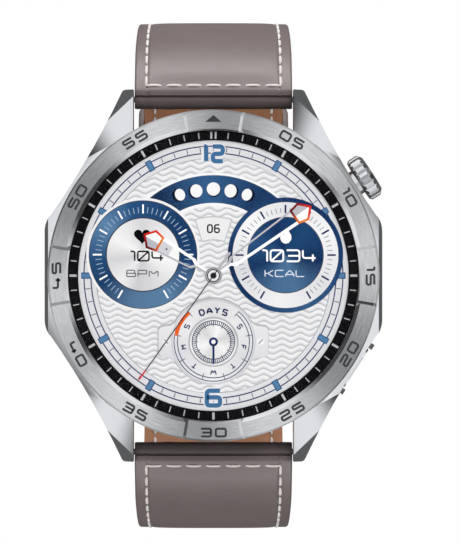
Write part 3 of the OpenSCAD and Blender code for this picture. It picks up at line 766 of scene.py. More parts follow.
def subdial_right(z):
    """Energy: white ring with navy ticks round a spun blue disc, in a blue rim."""
    c = (9.82, 2.8)
    rim_blue = conic("energy_rim_blue", c, [(-60, 34, 72, 118), (20, 18, 48, 90), (100, 26, 62, 108),
                                            (160, 52, 92, 136), (215, 20, 54, 98),
                                            (270, 16, 42, 82)], GLOW)
    rim = Plate("energy_rim", z, 0.012, rim_blue)
    rim.disc(7.86, c, n=96)
    white = conic("energy_white", c, [(-50, 250, 250, 250), (0, 228, 228, 230), (60, 246, 246, 247),
                                      (130, 226, 226, 229), (190, 242, 242, 243),
                                      (250, 220, 220, 224)], GLOW)
    ring = Plate("energy_ring", z + 0.014, 0.008, white)
    ring.disc(7.22, c, n=96)
    edge = layer("energy_lines", z + 0.024, 0.006, rgb(70, 76, 96))
    edge.ring(5.08, 5.22, c)
    major = layer("energy_major_ticks", z + 0.024, 0.006, NAVY, glow=0.1)
    minor = layer("energy_minor_ticks", z + 0.024, 0.006, rgb(140, 146, 160))
    for i in range(-25, 26):
        angle = i * 6
        if i % 5 == 0:
            major.tick(5.7, 6.85, angle, 0.24, c)
        else:
            minor.tick(5.75, 6.45, angle, 0.1, c)
    blue = conic("energy_blue", c, [(-70, 38, 80, 126), (-20, 16, 50, 94), (40, 28, 70, 116),
                                    (100, 14, 46, 88), (165, 76, 114, 152), (200, 70, 108, 148),
                                    (250, 18, 52, 96)], GLOW)
    disc = Plate("energy_disc", z + 0.022, 0.01, blue)
    disc.disc(5.1, c, n=72)
    ink = layer("energy_ink", z + 0.034, 0.008, WHITE, glow=0.4)
    ink.polygon(flame_outline((9.9, 5.35), 1.0))
    ink.write("1034", (10.3, 2.7), 1.75, 1.98, 0.22, 0.24, soft=0.2, slant_zero=True)
    label = layer("energy_label", z + 0.034, 0.008, rgb(214, 222, 234), glow=0.3)
    label.write("KCAL", (9.7, 0.3), 0.99, 1.24, 0.17, 0.14, soft=0.18)


def flame_outline(centre, size):
    """A plain flame: a drop with a notch in its left shoulder."""
    shape = [(0.02, 1.15), (0.42, 0.6), (0.72, 0.1), (0.7, -0.45), (0.35, -0.9), (-0.1, -1.0), (-0.55, -0.8),
             (-0.8, -0.3), (-0.7, 0.2), (-0.48, 0.55), (-0.32, 0.12), (-0.1, 0.45)]
    return fillet([(centre[0] + x * size, centre[1] + y * size) for x, y in shape], 0.25, True, 3)


def subdial_days(z):
    """Weekday plate: waisted silver plate, double arc, weekday initials and a small pointer."""
    c = (0, -9.03)
    shade = layer("days_shadow", z, 0.008, rgb(186, 186, 190))
    plate_material = conic("days_silver", c, [(0, 224, 223, 225), (60, 236, 236, 237), (120, 222, 222, 225),
                                              (180, 240, 240, 241), (250, 222, 222, 226),
                                              (300, 238, 237, 238)], GLOW)
    plate = Plate("days_plate", z + 0.01, 0.016, plate_material)
    shade.polygon(ear_outline((c[0] - 0.05, c[1] + 0.12), 5.95, 7.6, 2.2))
    plate.polygon(ear_outline(c, 5.8, 7.5, 2.08))
    brim = layer("days_brim", z + 0.027, 0.003, rgb(206, 206, 214))
    brim.ring(5.6, 5.74, c)
    raised = layer("days_step_shadow", z + 0.027, 0.004, rgb(184, 184, 190))
    raised.disc(3.42, c, n=64)
    centre_disc = Plate("days_centre", z + 0.032, 0.008,
                        conic("days_centre_silver", c, [(20, 250, 250, 250), (70, 214, 214, 214),
                                                        (120, 246, 246, 246), (200, 222, 222, 222),
                                                        (250, 248, 248, 248), (320, 216, 216, 216)], GLOW))
    centre_disc.disc(3.2, (c[0], c[1] - 0.03), n=64)
    navy = layer("days_lines", z + 0.041, 0.006, NAVY, glow=0.1)
    for r in (4.9, 5.37):
        navy.ring(r - 0.055, r + 0.055, c, start=39.7, end=280)
    for angle in (39.7, 80, 120.6, 163, 197, 239.4, 280, 320.3):
        navy.tick(4.45, 5.37, angle, 0.08, c)
    for r in (2.36, 2.9):
        navy.ring(r - 0.05, r + 0.05, c)
    for i in range(60):
        navy.tick(2.36, 2.9, i * 6, 0.1 if i % 5 else 0.13, c)
    for i in range(12):
        navy.tick(2.08, 2.4, i * 30, 0.08, c)
    for day, angle in zip("SFTWTMS", (60, 100, 141.5, 180, 218.5, 260, 300)):
        wide = 0.9 if day == "W" else 0.64
        navy.write(day, polar(4.15, angle, c), 0.78, wide, 0.1, 0.15, angle=angle, soft=0.2)
    for letter, angle in zip("DAYS", (-21.5, -7.4, 6.9, 21.5)):
        navy.write(letter, polar(4.3, angle, c), 0.96, 0.82, 0.1, 0.21, angle=angle, soft=0.2)
    orange = layer("days_today", z + 0.041, 0.008, rgb(232, 96, 34), glow=0.3)
    orange.ring(4.9, 5.42, c, start=-80, end=-39.7)
    hand = layer("days_pointer", z + 0.05, 0.012, rgb(28, 48, 104), glow=0.1)
    hand.tick(-0.2, 3.0, 180, 0.28, c)
    hand.disc(0.61, c)
    cap = layer("days_pointer_cap", z + 0.064, 0.006, WHITE)
    cap.disc(0.3, c)
    screws = layer("days_screws", z + 0.027, 0.006, rgb(246, 246, 248))
    slots = layer("days_screw_slots", z + 0.034, 0.006, rgb(60, 60, 66), glow=0)
    for side, lean in ((-1, -42), (1, 42)):
        spot = (side * 6.45, c[1] + 0.05)
        screws.disc(0.5, spot)
        slots.tick(-0.42, 0.42, lean, 0.1, spot)


def ear_outline(centre, r, half_w, half_h):
    """A disc with a rounded ear on each side, flowing into it."""
    neck = degrees(asin(min(1.0, (r - 0.62) / r)))
    ear = [(half_h + 3.77, half_h + 0.12), (half_w - 0.35, half_h - 0.05), (half_w, half_h - 0.5)]
    right = ear + [(x, -y) for x, y in reversed(ear)]
    left = [(-x, -y) for x, y in right]
    top = [polar(r, a) for a in evenly(-neck, neck, 26)]
    bottom = [polar(r, a) for a in evenly(180 - neck, 180 + neck, 26)]
    points = top + right + bottom + left
    return [(centre[0] + x, centre[1] + y) for x, y in fillet(points, 0.5, True, 3)]


def along(angle, u, v):
    """A point u along a hand at a clock angle and v to its clockwise side."""
    a = radians(angle)
    return (u * sin(a) + v * cos(a), u * cos(a) - v * sin(a))


def tip_colours(name, centre, lead):
    """The red line round a hand's tip: dark red, red and orange as it turns."""
    stops = [(0, 206, 36, 30), (70, 222, 52, 28), (130, 238, 136, 52), (190, 212, 88, 30), (240, 96, 16, 14),
             (300, 120, 18, 18)]
    return conic(name, centre, [((a + lead) % 360, *c) for a, *c in stops], 0.25)


def baton_hand(name, angle, near, tip, z, light_side, block, lead):
    """A skeleton hand: neck, two rails, a block of some length, and a coloured pentagon at its end."""
    light = printed(name + "_white", rgb(252, 252, 252), glow=0.35).mat
    grey = printed(name + "_grey", rgb(190, 190, 196), glow=GLOW).mat
    bar_end, waist = near - 0.1, 3.2
    for side, material in ((light_side, light), (-light_side, grey)):
        part = Plate(name + ("_bar_light" if material is light else "_bar_grey"), z, 0.014, material)
        outer, narrow, thick = 1.1, 0.74, 0.44 if material is light else 0.26
        rail = [(bar_end, outer), (waist, narrow), (2.75, 0.3), (1.2, 0.28)]
        inside = [(bar_end, outer - thick), (waist + 0.35, narrow - thick * 0.8), (2.95, 0.0), (1.2, 0.0)]
        part.band([along(angle, u, side * v) for u, v in (rail if side > 0 else inside)],
                  [along(angle, u, side * v) for u, v in (inside if side > 0 else rail)])
    if block:
        web = layer(name + "_block", z - 0.004, 0.012, rgb(214, 214, 219))
        block_shape = [(bar_end - block, -0.9), (bar_end, -1.0), (bar_end, 1.0), (bar_end - block, 0.9)]
        web.polygon([along(angle, u, v) for u, v in block_shape])
        dot = layer(name + "_dot", z + 0.016, 0.006, rgb(90, 90, 96), glow=0.05)
        dot.disc(0.14, along(angle, bar_end - block * 0.62, -0.1 * light_side), n=12)
    fill = Plate(name + "_tip_fill", z + 0.002, 0.012, light)
    shape = [(near, 0.98), (near + 1.3, 1.3), (tip, 0.1), (near + 1.3, -1.22), (near, -0.98)]
    fill.polygon([along(angle, u, v) for u, v in shape])
    half = Plate(name + "_tip_shade", z + 0.015, 0.004, grey)
    half_shape = [(near, 0.9), (near + 1.3, 1.16), (tip - 0.1, 0), (near, 0)]
    half.polygon([along(angle, u, -light_side * v) for u, v in half_shape])
    colours = tip_colours(name + "_red", along(angle, near + 1.0, 0), lead)
    red = Plate(name + "_tip_line", z + 0.016, 0.012, colours)
    red.stroke([along(angle, u, v) for u, v in shape], 0.3, True)


def screen_hands(z):
    """Hour, minute and second hands, as the picture shows them."""
    baton_hand("hour_hand", -59.8, 8.5, 10.9, z, 1, 1.7, -40)
    baton_hand("minute_hand", 54.2, 13.7, 16.2, z + 0.03, 1, 0, 30)
    hub = layer("hands_hub", z + 0.062, 0.012, rgb(206, 206, 210))
    hub.disc(1.22)
    groove = layer("hands_hub_groove", z + 0.075, 0.004, rgb(110, 108, 112), glow=0.1)
    groove.ring(0.98, 1.1)
    boss = layer("hands_hub_boss", z + 0.075, 0.006, rgb(236, 236, 238))
    boss.disc(0.72)
    second = layer("second_hand", z + 0.076, 0.008, rgb(70, 68, 70), glow=0.1)
    second.tick(-1.1, 16.0, 215.6, 0.15)
    second.ring(0.75, 0.9)
    tail = layer("second_tail", z + 0.076, 0.01, rgb(186, 186, 190))
    tail.tick(1.0, 3.9, 35.6, 0.34)
    tip = layer("second_tip", z + 0.076, 0.01, rgb(206, 44, 44), glow=0.3)
    tip.tick(15.9, 17.4, 215.6, 0.2)
    cap = layer("hands_cap", z + 0.086, 0.01, rgb(40, 38, 40), glow=0.05)
    cap.disc(0.42)


def screen():
    """The whole picture, layer over layer between the panel and the glass."""
    z = SCREEN_Z + 0.006
    screen_ground(z)
    minute_circles(z + 0.035)
    twelve_and_six(z + 0.058)
    moon_band(z + 0.04)
    date_fan(z + 0.04)
    subdial_left(z + 0.1)
    subdial_right(z + 0.1)
    subdial_days(z + 0.06)
    screen_hands(z + 0.15)


# ---------------------------------------------------------------- bezel, ring and case trim

NUMERAL_R = 21.36


def bezel_numerals():
    """Dark paint in the engraved figures of the bezel, and the triangle at twelve."""
    paint = plain("bezel_paint", rgb(44, 46, 50), 0.5)
    for minute in range(5, 60, 5):
        text = f"{minute:02d}"
        angle = minute * 6
        upright = angle if not 100 < angle < 260 else angle + 180
        z = (BEZEL_HIGH if minute % 15 == 0 else BEZEL_LOW) - 0.03
        plate = Plate("numeral_" + text, z, 0.034, paint, slot="bezel_steel")
        plate.write(text, polar(NUMERAL_R, angle), 1.34, 1.66, 0.34, 0.3, angle=upright, soft=0.2)
    mark = Plate("numeral_triangle", BEZEL_HIGH - 0.03, 0.034, paint, slot="bezel_steel")
    mark.polygon([(-1.1, NUMERAL_R - 0.45), (1.1, NUMERAL_R - 0.45), (0, NUMERAL_R + 0.5)])


def minute_ring_marks():
    """Pale marks on the black ring under the glass: thin minutes and thicker fives."""
    paint = plain("ring_mark_paint", rgb(206, 206, 208), 0.5)
    marks = Plate("minute_ring_marks", TRACK_FRONT - 0.02, 0.026, paint, slot="black_plastic")
    for i in range(60):
        angle = i * 6
        if i == 0:
            for side in (-1, 1):
                marks.tick(18.66, 19.62, side * 0.9, 0.26)
        elif i % 5 == 0:
            marks.tick(18.66, 19.62, angle, 0.32)
        else:
            marks.tick(18.72, 19.55, angle, 0.14)


# ---------------------------------------------------------------- the strap

def arc_a():
    """Centre and radius of the arc that leaves the spring bar and runs smoothly into arc B."""
    u = Vector((0, cos(JOIN), sin(JOIN)))
    w = ARC_B - BAR
    r = (w.length_squared + 2 * ARC_B_R * w.dot(u) + ARC_B_R ** 2) / (2 * w.dot(u) + 2 * ARC_B_R)
    return ARC_B + (ARC_B_R - r) * u, r


ARC_A, ARC_A_R = arc_a()
START = atan2(BAR.z - ARC_A.z, BAR.y - ARC_A.y)
JOIN_S = ARC_A_R * (START - JOIN)
BUCKLE_ANGLE = atan2(BUCKLE.z, BUCKLE.y - ARC_B.y)
BUCKLE_S = JOIN_S + ARC_B_R * (JOIN - BUCKLE_ANGLE)
FLEX_ANGLE = atan2(FLEX.z, FLEX.y - ARC_B.y)
FLEX_S = JOIN_S + ARC_B_R * (JOIN - FLEX_ANGLE)
SPLIT = -0.2
LINING = -1.2


def on_line(s, off):
    """A point of the strap in the y and z plane, in millimetres."""
    if s < JOIN_S:
        angle, centre, r = START - s / ARC_A_R, ARC_A, ARC_A_R
    else:
        angle, centre, r = JOIN - (s - JOIN_S) / ARC_B_R, ARC_B, ARC_B_R
    return Vector((centre.y + (r + off) * cos(angle), centre.z + (r + off) * sin(angle)))


def on_back(angle, r):
    """A point at an angle on arc B, in millimetres."""
    return Vector((ARC_B.y + r * cos(angle), ARC_B.z + r * sin(angle)))


def half_width(y):
    """Half width of the strap at a depth y."""
    return LUG_HALF + (END_HALF - LUG_HALF) * min(1.0, max(0.0, y / 27))


def skin(s):
    """Height of the outer skin over the middle surface."""
    return 2.1 - 0.9 * min(1.0, s / 42)


def ease(u):
    u = min(1.0, max(0.0, u))
    return u * u * (3 - 2 * u)


TAIL_LIE = 2.5
TAIL_END = radians(40.5)
TAIL_STEPS = 52


def tail_r(angle):
    """Radius of the long half's middle surface: it climbs over the buckle bar and lies on the short half."""
    a = degrees(angle)
    return ARC_B_R + (TAIL_LIE + 0.45) * ease((a + 21.5) / 15) - 0.45 * ease((a + 5) / 8)


def skive(angle):
    """The lining thins towards the tip, which so clears the other half where that bends."""
    return 0.4 * ease((degrees(angle) - 31) / 7)


EDGE = [(0.0, -0.42), (0.04, -0.22), (0.13, -0.08), (0.3, -0.01), (0.7, 0.0), (1.25, 0.0)]
GROOVE = [(1.42, -0.05), (1.52, -0.17), (1.68, -0.17), (1.8, -0.03)]
PAD = [(2.1, 0.03), (2.7, 0.08), (3.8, 0.12), (5.6, 0.14), (7.8, 0.15)]


def stations(half):
    """Distances in from the edge, and the height of the skin there, across half the strap."""
    return [(d, h) for d, h in EDGE + GROOVE + PAD if d < half] + [(half, 0.15)]


def loft(name, rows, material, body, smooth=50, cap=True):
    """A closed skin over rows of points: each row is a closed loop at one place across the strap."""
    n = len(rows[0])
    verts = [Vector(p) * MM for row in rows for p in row]
    faces = []
    for i in range(len(rows) - 1):
        for j in range(n):
            k = (j + 1) % n
            faces.append((i * n + j, i * n + k, (i + 1) * n + k, (i + 1) * n + j))
    if cap:
        faces.append(tuple(range(n - 1, -1, -1)))
        last = (len(rows) - 1) * n
        faces.append(tuple(range(last, last + n)))
    piece = add_mesh(name, verts, faces, material, body, None)
    fix_normals(piece)
    smooth_by_angle(piece, smooth)
    return piece


def fix_normals(piece):
    work = bmesh.new()
    work.from_mesh(piece.data)
    bmesh.ops.recalc_face_normals(work, faces=work.faces)
    work.to_mesh(piece.data)
    work.free()


def across_rows(outline, flip):
    """Rows across the strap, left to right. outline(d, h) gives the closed loop there."""
    rows = []
    for side in (-1, 1):
        places = stations(END_HALF - 0.01)
        order = places if side < 0 else places[::-1][1:]
        for d, h in order:
            row = []
            for point in outline(d, h):
                half = half_width(point.x)
                inset = max(0.0, half - d * half / END_HALF)
                row.append((side * inset, point.x, point.y if not flip else -point.y))
            rows.append(row)
    return rows


def densely(start, end, step):
    """Evenly spaced stations no further apart than step."""
    return evenly(start, end, max(1, ceil(abs(end - start) / step)))


def evenly(start, end, n):
    return [start + (end - start) * i / n for i in range(n + 1)]


ROLL_R = 1.34
PANEL_S = -0.42


def lug_roll(h):
    """The roll round the spring bar: from the crease under the panel, round the front, to the inner face."""
    centre = Vector((BAR.y, BAR.z))
    r = ROLL_R + 0.25 * min(h, 0.0)
    angles = densely(START + radians(25), START + radians(238), radians(11))
    return [centre + r * Vector((cos(a), sin(a))) for a in angles]


def panel_height(s, h):
    """Skin height: the padding rises after the pressed end row and the edges stay thin."""
    fade = ease((s - 0.9) / 2.4)
    lift = h if h <= 0 else h * fade
    lip = 0.35 * (1 - ease((s - PANEL_S) / 0.5))
    return skin(s) - lip + lift


def lug_end(h):
    """From the panel's near lip, down its end wall, round the spring bar and back under the panel."""
    low = 0.5 * min(h, 0.0)
    lip = [on_line(PANEL_S - 0.04, skin(0) - 0.55 + low), on_line(PANEL_S + 0.1, ROLL_R - 0.1 + low)]
    return lip + lug_roll(h)


def short_outline(d, h):
    """Closed loop of the short half's outer leather at one place across it."""
    loop = []
    for s in densely(BUCKLE_S - 0.4, 3.2, 1.1) + densely(3.0, PANEL_S, 0.2):
        loop.append(on_line(s, panel_height(s, h)))
    loop += lug_end(h)
    for s in densely(1.9, BUCKLE_S - 1.2, 1.4):
        loop.append(on_line(s, SPLIT))
    centre = Vector((BUCKLE.y, BUCKLE.z))
    for a in densely(BUCKLE_ANGLE + pi + radians(50), BUCKLE_ANGLE + 2 * pi - radians(2), radians(14)):
        loop.append(centre + (1.68 + 0.4 * min(h, 0)) * Vector((cos(a), sin(a))))
    return loop


def long_outline(d, h):
    """Closed loop of the long half's outer leather, from its roll to the tip, drawn for the upper side."""
    loop = []
    tip = -TAIL_END + tip_inset(d)
    for angle in evenly(tip, FLEX_ANGLE - radians(2), TAIL_STEPS):
        off = 1.1 + 0.2 * (1 - ease((FLEX_ANGLE - angle) / radians(12)))
        lift = min(h, 0.0) + max(h, 0.0) * (1 - ease((FLEX_ANGLE - angle) / radians(16)))
        loop.append(on_back(angle, tail_r(-angle) + off + lift - 0.1))
    for s in densely(FLEX_S - 1.5, 3.2, 1.1) + densely(3.0, PANEL_S, 0.2):
        loop.append(on_line(s, panel_height(s, h)))
    loop += lug_end(h)
    for s in densely(1.9, FLEX_S, 1.4):
        loop.append(on_line(s, SPLIT))
    for angle in evenly(FLEX_ANGLE - radians(2), tip, TAIL_STEPS):
        loop.append(on_back(angle, tail_r(-angle) + SPLIT))
    return loop


def tip_inset(d):
    """How far the rounded tip has drawn back at a distance from the edge, as an angle on arc B."""
    x = END_HALF - d
    r = 10.4
    drop = r - sqrt(max(0.0, r * r - min(x, r * 0.995) ** 2))
    return drop / (ARC_B_R + TAIL_LIE)


def lining_outline(long_half):
    """Closed loop of the lining at one place across it."""
    def outline(d, h):
        lift = 0.35 * min(h, 0.0)
        loop = []
        if long_half:
            tip = -TAIL_END + tip_inset(d) + radians(0.25)
            stretch = evenly(tip, FLEX_ANGLE - radians(2), TAIL_STEPS)
            loop += [on_back(a, tail_r(-a) + SPLIT - 0.01) for a in stretch]
            loop += [on_line(s, SPLIT - 0.01) for s in densely(FLEX_S, 1.7, 1.4)]
            loop += [on_line(s, LINING - lift) for s in densely(1.7, FLEX_S, 1.4)]
            loop += [on_back(a, tail_r(-a) - 1.1 - lift + skive(-a)) for a in stretch[::-1]]
        else:
            run = densely(BUCKLE_S - 1.9, 1.7, 1.4)
            loop += [on_line(s, SPLIT - 0.01) for s in run]
            loop += [on_line(s, LINING - lift) for s in run[::-1]]
        return loop
    return outline


def cutter_box(name, centre, size, rotation=None):
    """A hidden box for a boolean cut, in metres in the row frame."""
    bpy.ops.mesh.primitive_cube_add(size=1)
    tool = bpy.context.object
    tool.name = name
    scale = Matrix.Diagonal(Vector([v * MM for v in size] + [1]))
    tool.matrix_world = Matrix.Translation(Vector(centre) * MM) @ (rotation or Matrix.Identity(4)) @ scale
    return tool


def cutter_rod(name, start, end, r, n=24):
    """A hidden cylinder for a boolean cut between two points, in millimetres."""
    a, b = Vector(start), Vector(end)
    bpy.ops.mesh.primitive_cylinder_add(vertices=n, radius=r * MM, depth=(b - a).length * MM)
    tool = bpy.context.object
    tool.name = name
    turn = (b - a).to_track_quat("Z", "Y").to_matrix().to_4x4()
    tool.matrix_world = Matrix.Translation((a + b) / 2 * MM) @ turn
    return tool


def cut(piece, tools):
    """Cuts the tools out of a piece for good, then removes them."""
    for tool in tools:
        modifier = piece.modifiers.new("cut", "BOOLEAN")
        modifier.object, modifier.solver = tool, "MANIFOLD"
    bpy.context.view_layer.update()
    made = bpy.data.meshes.new_from_object(piece.evaluated_get(bpy.context.evaluated_depsgraph_get()))
    piece.modifiers.clear()
    piece.data = made
    for tool in tools:
        bpy.data.objects.remove(tool)


def bend_at_flex(piece):
    """Takes a strap piece off its body and bakes its place into the mesh."""
    piece.parent = None
    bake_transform(piece)


def release_cutter(upper):
    """The window in the leather where the quick-release lever shows."""
    side = 1 if upper else -1
    tilt = Matrix.Rotation(atan2(ARC_A.z - BAR.z, ARC_A.y - BAR.y) * side, 4, "X")
    inner = Vector((0, ARC_A.y - BAR.y, (ARC_A.z - BAR.z) * side)).normalized()
    centre = Vector((-5.6, BAR.y, BAR.z * side)) + inner * 2.6
    return cutter_box("window", centre, (4.0, 6.0, 1.8), tilt)


MADE = {}


def strap_halves():
    """Outer leather and lining of both halves, with their windows and holes."""
    taupe = MADE["taupe"] = leather_grain("leather_outer", rgb(102, 91, 91), rgb(93, 81, 81), 0.4, 1.0, 0.0)
    tan = leather_grain("leather_lining", rgb(160, 108, 70), rgb(134, 86, 52), 0.6, 1.5, 0.0)
    pieces = {}
    for name, outline, flip, slot, material in (
            ("strap_short_leather", short_outline, False, "leather_outer", taupe),
            ("strap_short_inside", lining_outline(False), False, "leather_lining", tan),
            ("strap_long_leather", long_outline, True, "leather_outer", taupe),
            ("strap_long_inside", lining_outline(True), True, "leather_lining", tan)):
        piece = loft(name, across_rows(outline, flip), material, None)
        pieces[name] = piece
        tools = [release_cutter(not flip)]
        if flip:
            tools += hole_cutters()
        elif name == "strap_short_leather":
            tools.append(cutter_box("slot", (0, BUCKLE.y, BUCKLE.z - 1.2), (2.7, 6, 5.4)))
        cut(piece, tools)
        smooth_by_angle(piece, 50)
    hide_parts("upper_strap_outer", "upper_end_outer")
    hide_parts("upper_strap_lining", "upper_end_lining")
    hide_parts("lower_strap_outer", "lower_end_outer")
    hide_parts("lower_strap_lining", "lower_end_lining")
    for name, piece in pieces.items():
        bend_at_flex(piece)


HOLES = (-37, -28.5, 15.5, 24)


def hole_cutters():
    """Round punched holes, and the longer one where the tongue comes through."""
    tools = []
    for degrees_on_back in HOLES:
        a = radians(degrees_on_back)
        inner, outer = on_back(a, ARC_B_R - 3), on_back(a, ARC_B_R + 6)
        tools.append(cutter_rod("hole", (0, *inner), (0, *outer), 0.85))
    a = BUCKLE_ANGLE - radians(6.6)
    middle = on_back(a, ARC_B_R + 1)
    tools.append(cutter_box("tongue_hole", (0, *middle), (2.3, 9, 6.4), Matrix.Rotation(a, 4, "X")))
    return tools


# ---------------------------------------------------------------- stitching

def stitch(verts, faces, a, b, out, r):
    """One thread stitch between two points: a flattened bead that dips into the leather at each end."""
    a, b, out = Vector(a), Vector(b), Vector(out).normalized()
    run = (b - a).normalized()
    side = run.cross(out)
    rings, around = 7, 8
    base = len(verts)
    for i in range(rings):
        t = i / (rings - 1)
        arch = sin(pi * t)
        lift = arch ** 0.35
        centre = a.lerp(b, t) + out * (r * (0.9 * lift - 0.15))
        size = r * (0.6 + 0.4 * lift)
        for k in range(around):
            angle = 2 * pi * k / around
            verts.append((centre + side * size * 1.1 * cos(angle) + out * size * 0.8 * sin(angle)) * MM)
    for i in range(rings - 1):
        for k in range(around):
            n = (k + 1) % around
            faces.append((base + i * around + k, base + i * around + n,
                          base + (i + 1) * around + n, base + (i + 1) * around + k))
    faces.append(tuple(base + k for k in range(around - 1, -1, -1)))
    faces.append(tuple(base + (rings - 1) * around + k for k in range(around)))


def strap_point(s, off, side_x, flip, distance):
    """A point on the strap's skin at a distance in from one edge."""
    p = on_line(s, off)
    x = side_x * (half_width(p.x) - distance)
    return Vector((x, p.x, -p.y if flip else p.y))


STITCH_IN = 1.6
STITCH_R = 0.185


def strap_stitching(flip):
    """Side rows and the row across the lug end of one half."""
    verts, faces = [], []
    first, pitch, length = 0.85, 1.95, 1.6
    last = FLEX_S + 22 if not flip else FLEX_S + 4
    count = int((last - first) / pitch)
    for side in (-1, 1):
        for i in range(count):
            s = first + i * pitch
            ends = [strap_point(t, skin(t) - 0.14, side, flip, STITCH_IN) for t in (s, s + length)]
            higher = strap_point(s + length / 2, skin(s) + 1, side, flip, STITCH_IN)
            stitch(verts, faces, ends[0], ends[1], higher - (ends[0] + ends[1]) / 2, STITCH_R)
    across = LUG_HALF - STITCH_IN
    number, gap = 7, 0.55
    span = (2 * across - gap * (number - 1)) / number
    level = strap_point(first, skin(first) - 0.08, 1, flip, LUG_HALF)
    higher = strap_point(first, skin(first) + 1, 1, flip, LUG_HALF)
    out = higher - level
    for i in range(number):
        x0 = -across + i * (span + gap)
        a = Vector((x0, level.y, level.z))
        stitch(verts, faces, a, a + Vector((span, 0, 0)), out, STITCH_R)
    name = "strap_long_thread" if flip else "strap_short_thread"
    piece = add_mesh(name, verts, faces, MADE["thread"],
                     None, None)
    fix_normals(piece)
    smooth_by_angle(piece, 60)
    bend_at_flex(piece)
    return piece


def lining_stitching(flip):
    """The same side rows, seen on the lining."""
    verts, faces = [], []
    first, pitch, length = 2.2, 1.95, 1.4
    last = FLEX_S + 22 if not flip else FLEX_S + 4
    for side in (-1, 1):
        for i in range(int((last - first) / pitch)):
            s = first + i * pitch
            ends = [strap_point(t, LINING + 0.03, side, flip, STITCH_IN) for t in (s, s + length)]
            lower = strap_point(s + length / 2, LINING - 1, side, flip, STITCH_IN)
            stitch(verts, faces, ends[0], ends[1], lower - (ends[0] + ends[1]) / 2, STITCH_R)
    name = "strap_long_thread_inside" if flip else "strap_short_thread_inside"
    piece = add_mesh(name, verts, faces, MADE["thread"], None, None)
    fix_normals(piece)
    smooth_by_angle(piece, 60)
    bend_at_flex(piece)


# ---------------------------------------------------------------- keepers

def rectangle(half, low, high):
    return [(-half, low), (half, low), (half, high), (-half, high)]


def keeper(name, node, from_deg, to_deg, body):
    """A leather loop with rounded edges round both layers of the strap."""
    r_in, r_out = ARC_B_R + LINING - 0.12, ARC_B_R + TAIL_LIE + 1.25
    wall, half = 0.78, END_HALF + 0.12
    lip = [(0.0, 0.32), (0.25, 0.1), (0.6, 0.0)]
    width = (to_deg - from_deg) * pi / 180 * ARC_B_R
    places = [(d, inset) for d, inset in lip] + [(width - d, inset) for d, inset in reversed(lip)]
    rows = []
    for d, inset in places:
        angle = radians(from_deg) + d / ARC_B_R
        t = wall - inset
        outer = fillet(rectangle(half + t, r_in - t, r_out + t), 1.1, True, 4)
        inner = fillet(rectangle(half, r_in, r_out), 0.5, True, 4)
        rows.append([outer, inner, angle])
    verts, faces = [], []
    n = len(rows[0][0])
    for outer, inner, angle in rows:
        for loop in (outer, inner):
            for x, r in loop:
                p = on_back(angle, r)
                verts.append(Vector((x, p.x, p.y)) * MM)
    for i in range(len(rows) - 1):
        for j in range(n):
            k = (j + 1) % n
            a, b = i * 2 * n, (i + 1) * 2 * n
            faces.append((a + j, a + k, b + k, b + j))
            faces.append((a + n + j, b + n + j, b + n + k, a + n + k))
    for i in (0, len(rows) - 1):
        a = i * 2 * n
        for j in range(n):
            k = (j + 1) % n
            faces.append((a + j, a + n + j, a + n + k, a + k))
    piece = add_mesh(name, verts, faces, MADE["taupe"], body, None)
    fix_normals(piece)
    smooth_by_angle(piece, 50)
    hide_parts(node)
    return piece


# ---------------------------------------------------------------- finishes for the CAD nodes

def finishes():
    """One material per slot of the record."""
    return {
        "case_steel": steel_case(),
        "bezel_steel": steel_bezel(),
        "crown_steel": steel_polished("crown_steel", rgb(196, 197, 200), 0.1),
        "buckle_steel": steel_brushed("buckle_steel", rgb(200, 202, 205), 0.24, (0.4, 6, 6)),
        "pin_steel": steel_brushed("pin_steel", rgb(168, 170, 173), 0.3, (6, 0.6, 6)),
        "black_plastic": plain("black_plastic", rgb(9, 9, 11), 0.5, depth=0.06, Specular_IOR_Level=0.05),
        "screen": plain("screen_panel", rgb(14, 18, 26), 0.2),
        "back_shell": plain("back_shell", rgb(30, 30, 33), 0.22, grain=2.0),
        "rubber_seal": plain("rubber_seal", rgb(16, 16, 17), 0.75, grain=12.0),
        "circuit_board": board_material(),
        "flex_film": plain("flex_film", rgb(190, 120, 40), 0.35),
        "battery_foil": plain("battery_foil", rgb(196, 198, 202), 0.35, 1.0, grain=1.2, depth=0.5),
        "copper": plain("copper", rgb(206, 128, 84), 0.32, 1.0, grain=8.0),
        "ferrite": plain("ferrite", rgb(44, 40, 40), 0.6, grain=14.0),
        "led_lens": plain("led_lens", rgb(150, 226, 160), 0.15, Transmission_Weight=0.4),
        "cover_glass": glass_material("cover_glass", (0.02, 0.02, 0.03, 1), 0.035),
        "sensor_glass": plain("sensor_glass", rgb(12, 12, 16), 0.06, grain=0.5, depth=0.02),
    }


def board_material():
    """Green solder mask with fine copper tracks under it."""
    m = Shader("circuit_board", rgb(20, 92, 58), 0.35, 0.0)
    brick = m.node("ShaderNodeTexBrick")
    brick.inputs["Scale"].default_value = 1.4
    brick.inputs["Mortar Size"].default_value = 0.03
    brick.inputs["Color1"].default_value = rgb(18, 88, 54)
    brick.inputs["Color2"].default_value = rgb(24, 98, 62)
    brick.inputs["Mortar"].default_value = rgb(90, 140, 70)
    m.link(m.coords(), brick.inputs["Vector"])
    m.color(brick.outputs["Color"])
    m.bump(brick.outputs["Fac"], 0.2, 0.02)
    return m.mat


def glass_material(name, color, alpha):
    """Clear sapphire with an anti-reflective coat."""
    m = Shader(name, color, 0.02, 0.0)
    m.set("Alpha", alpha)
    m.set("IOR", 1.5)
    smear = m.noise(0.2, 2, 0.5)
    m.rough(m.span(smear, 0.3, 0.7, 0.01, 0.05))
    return m.mat


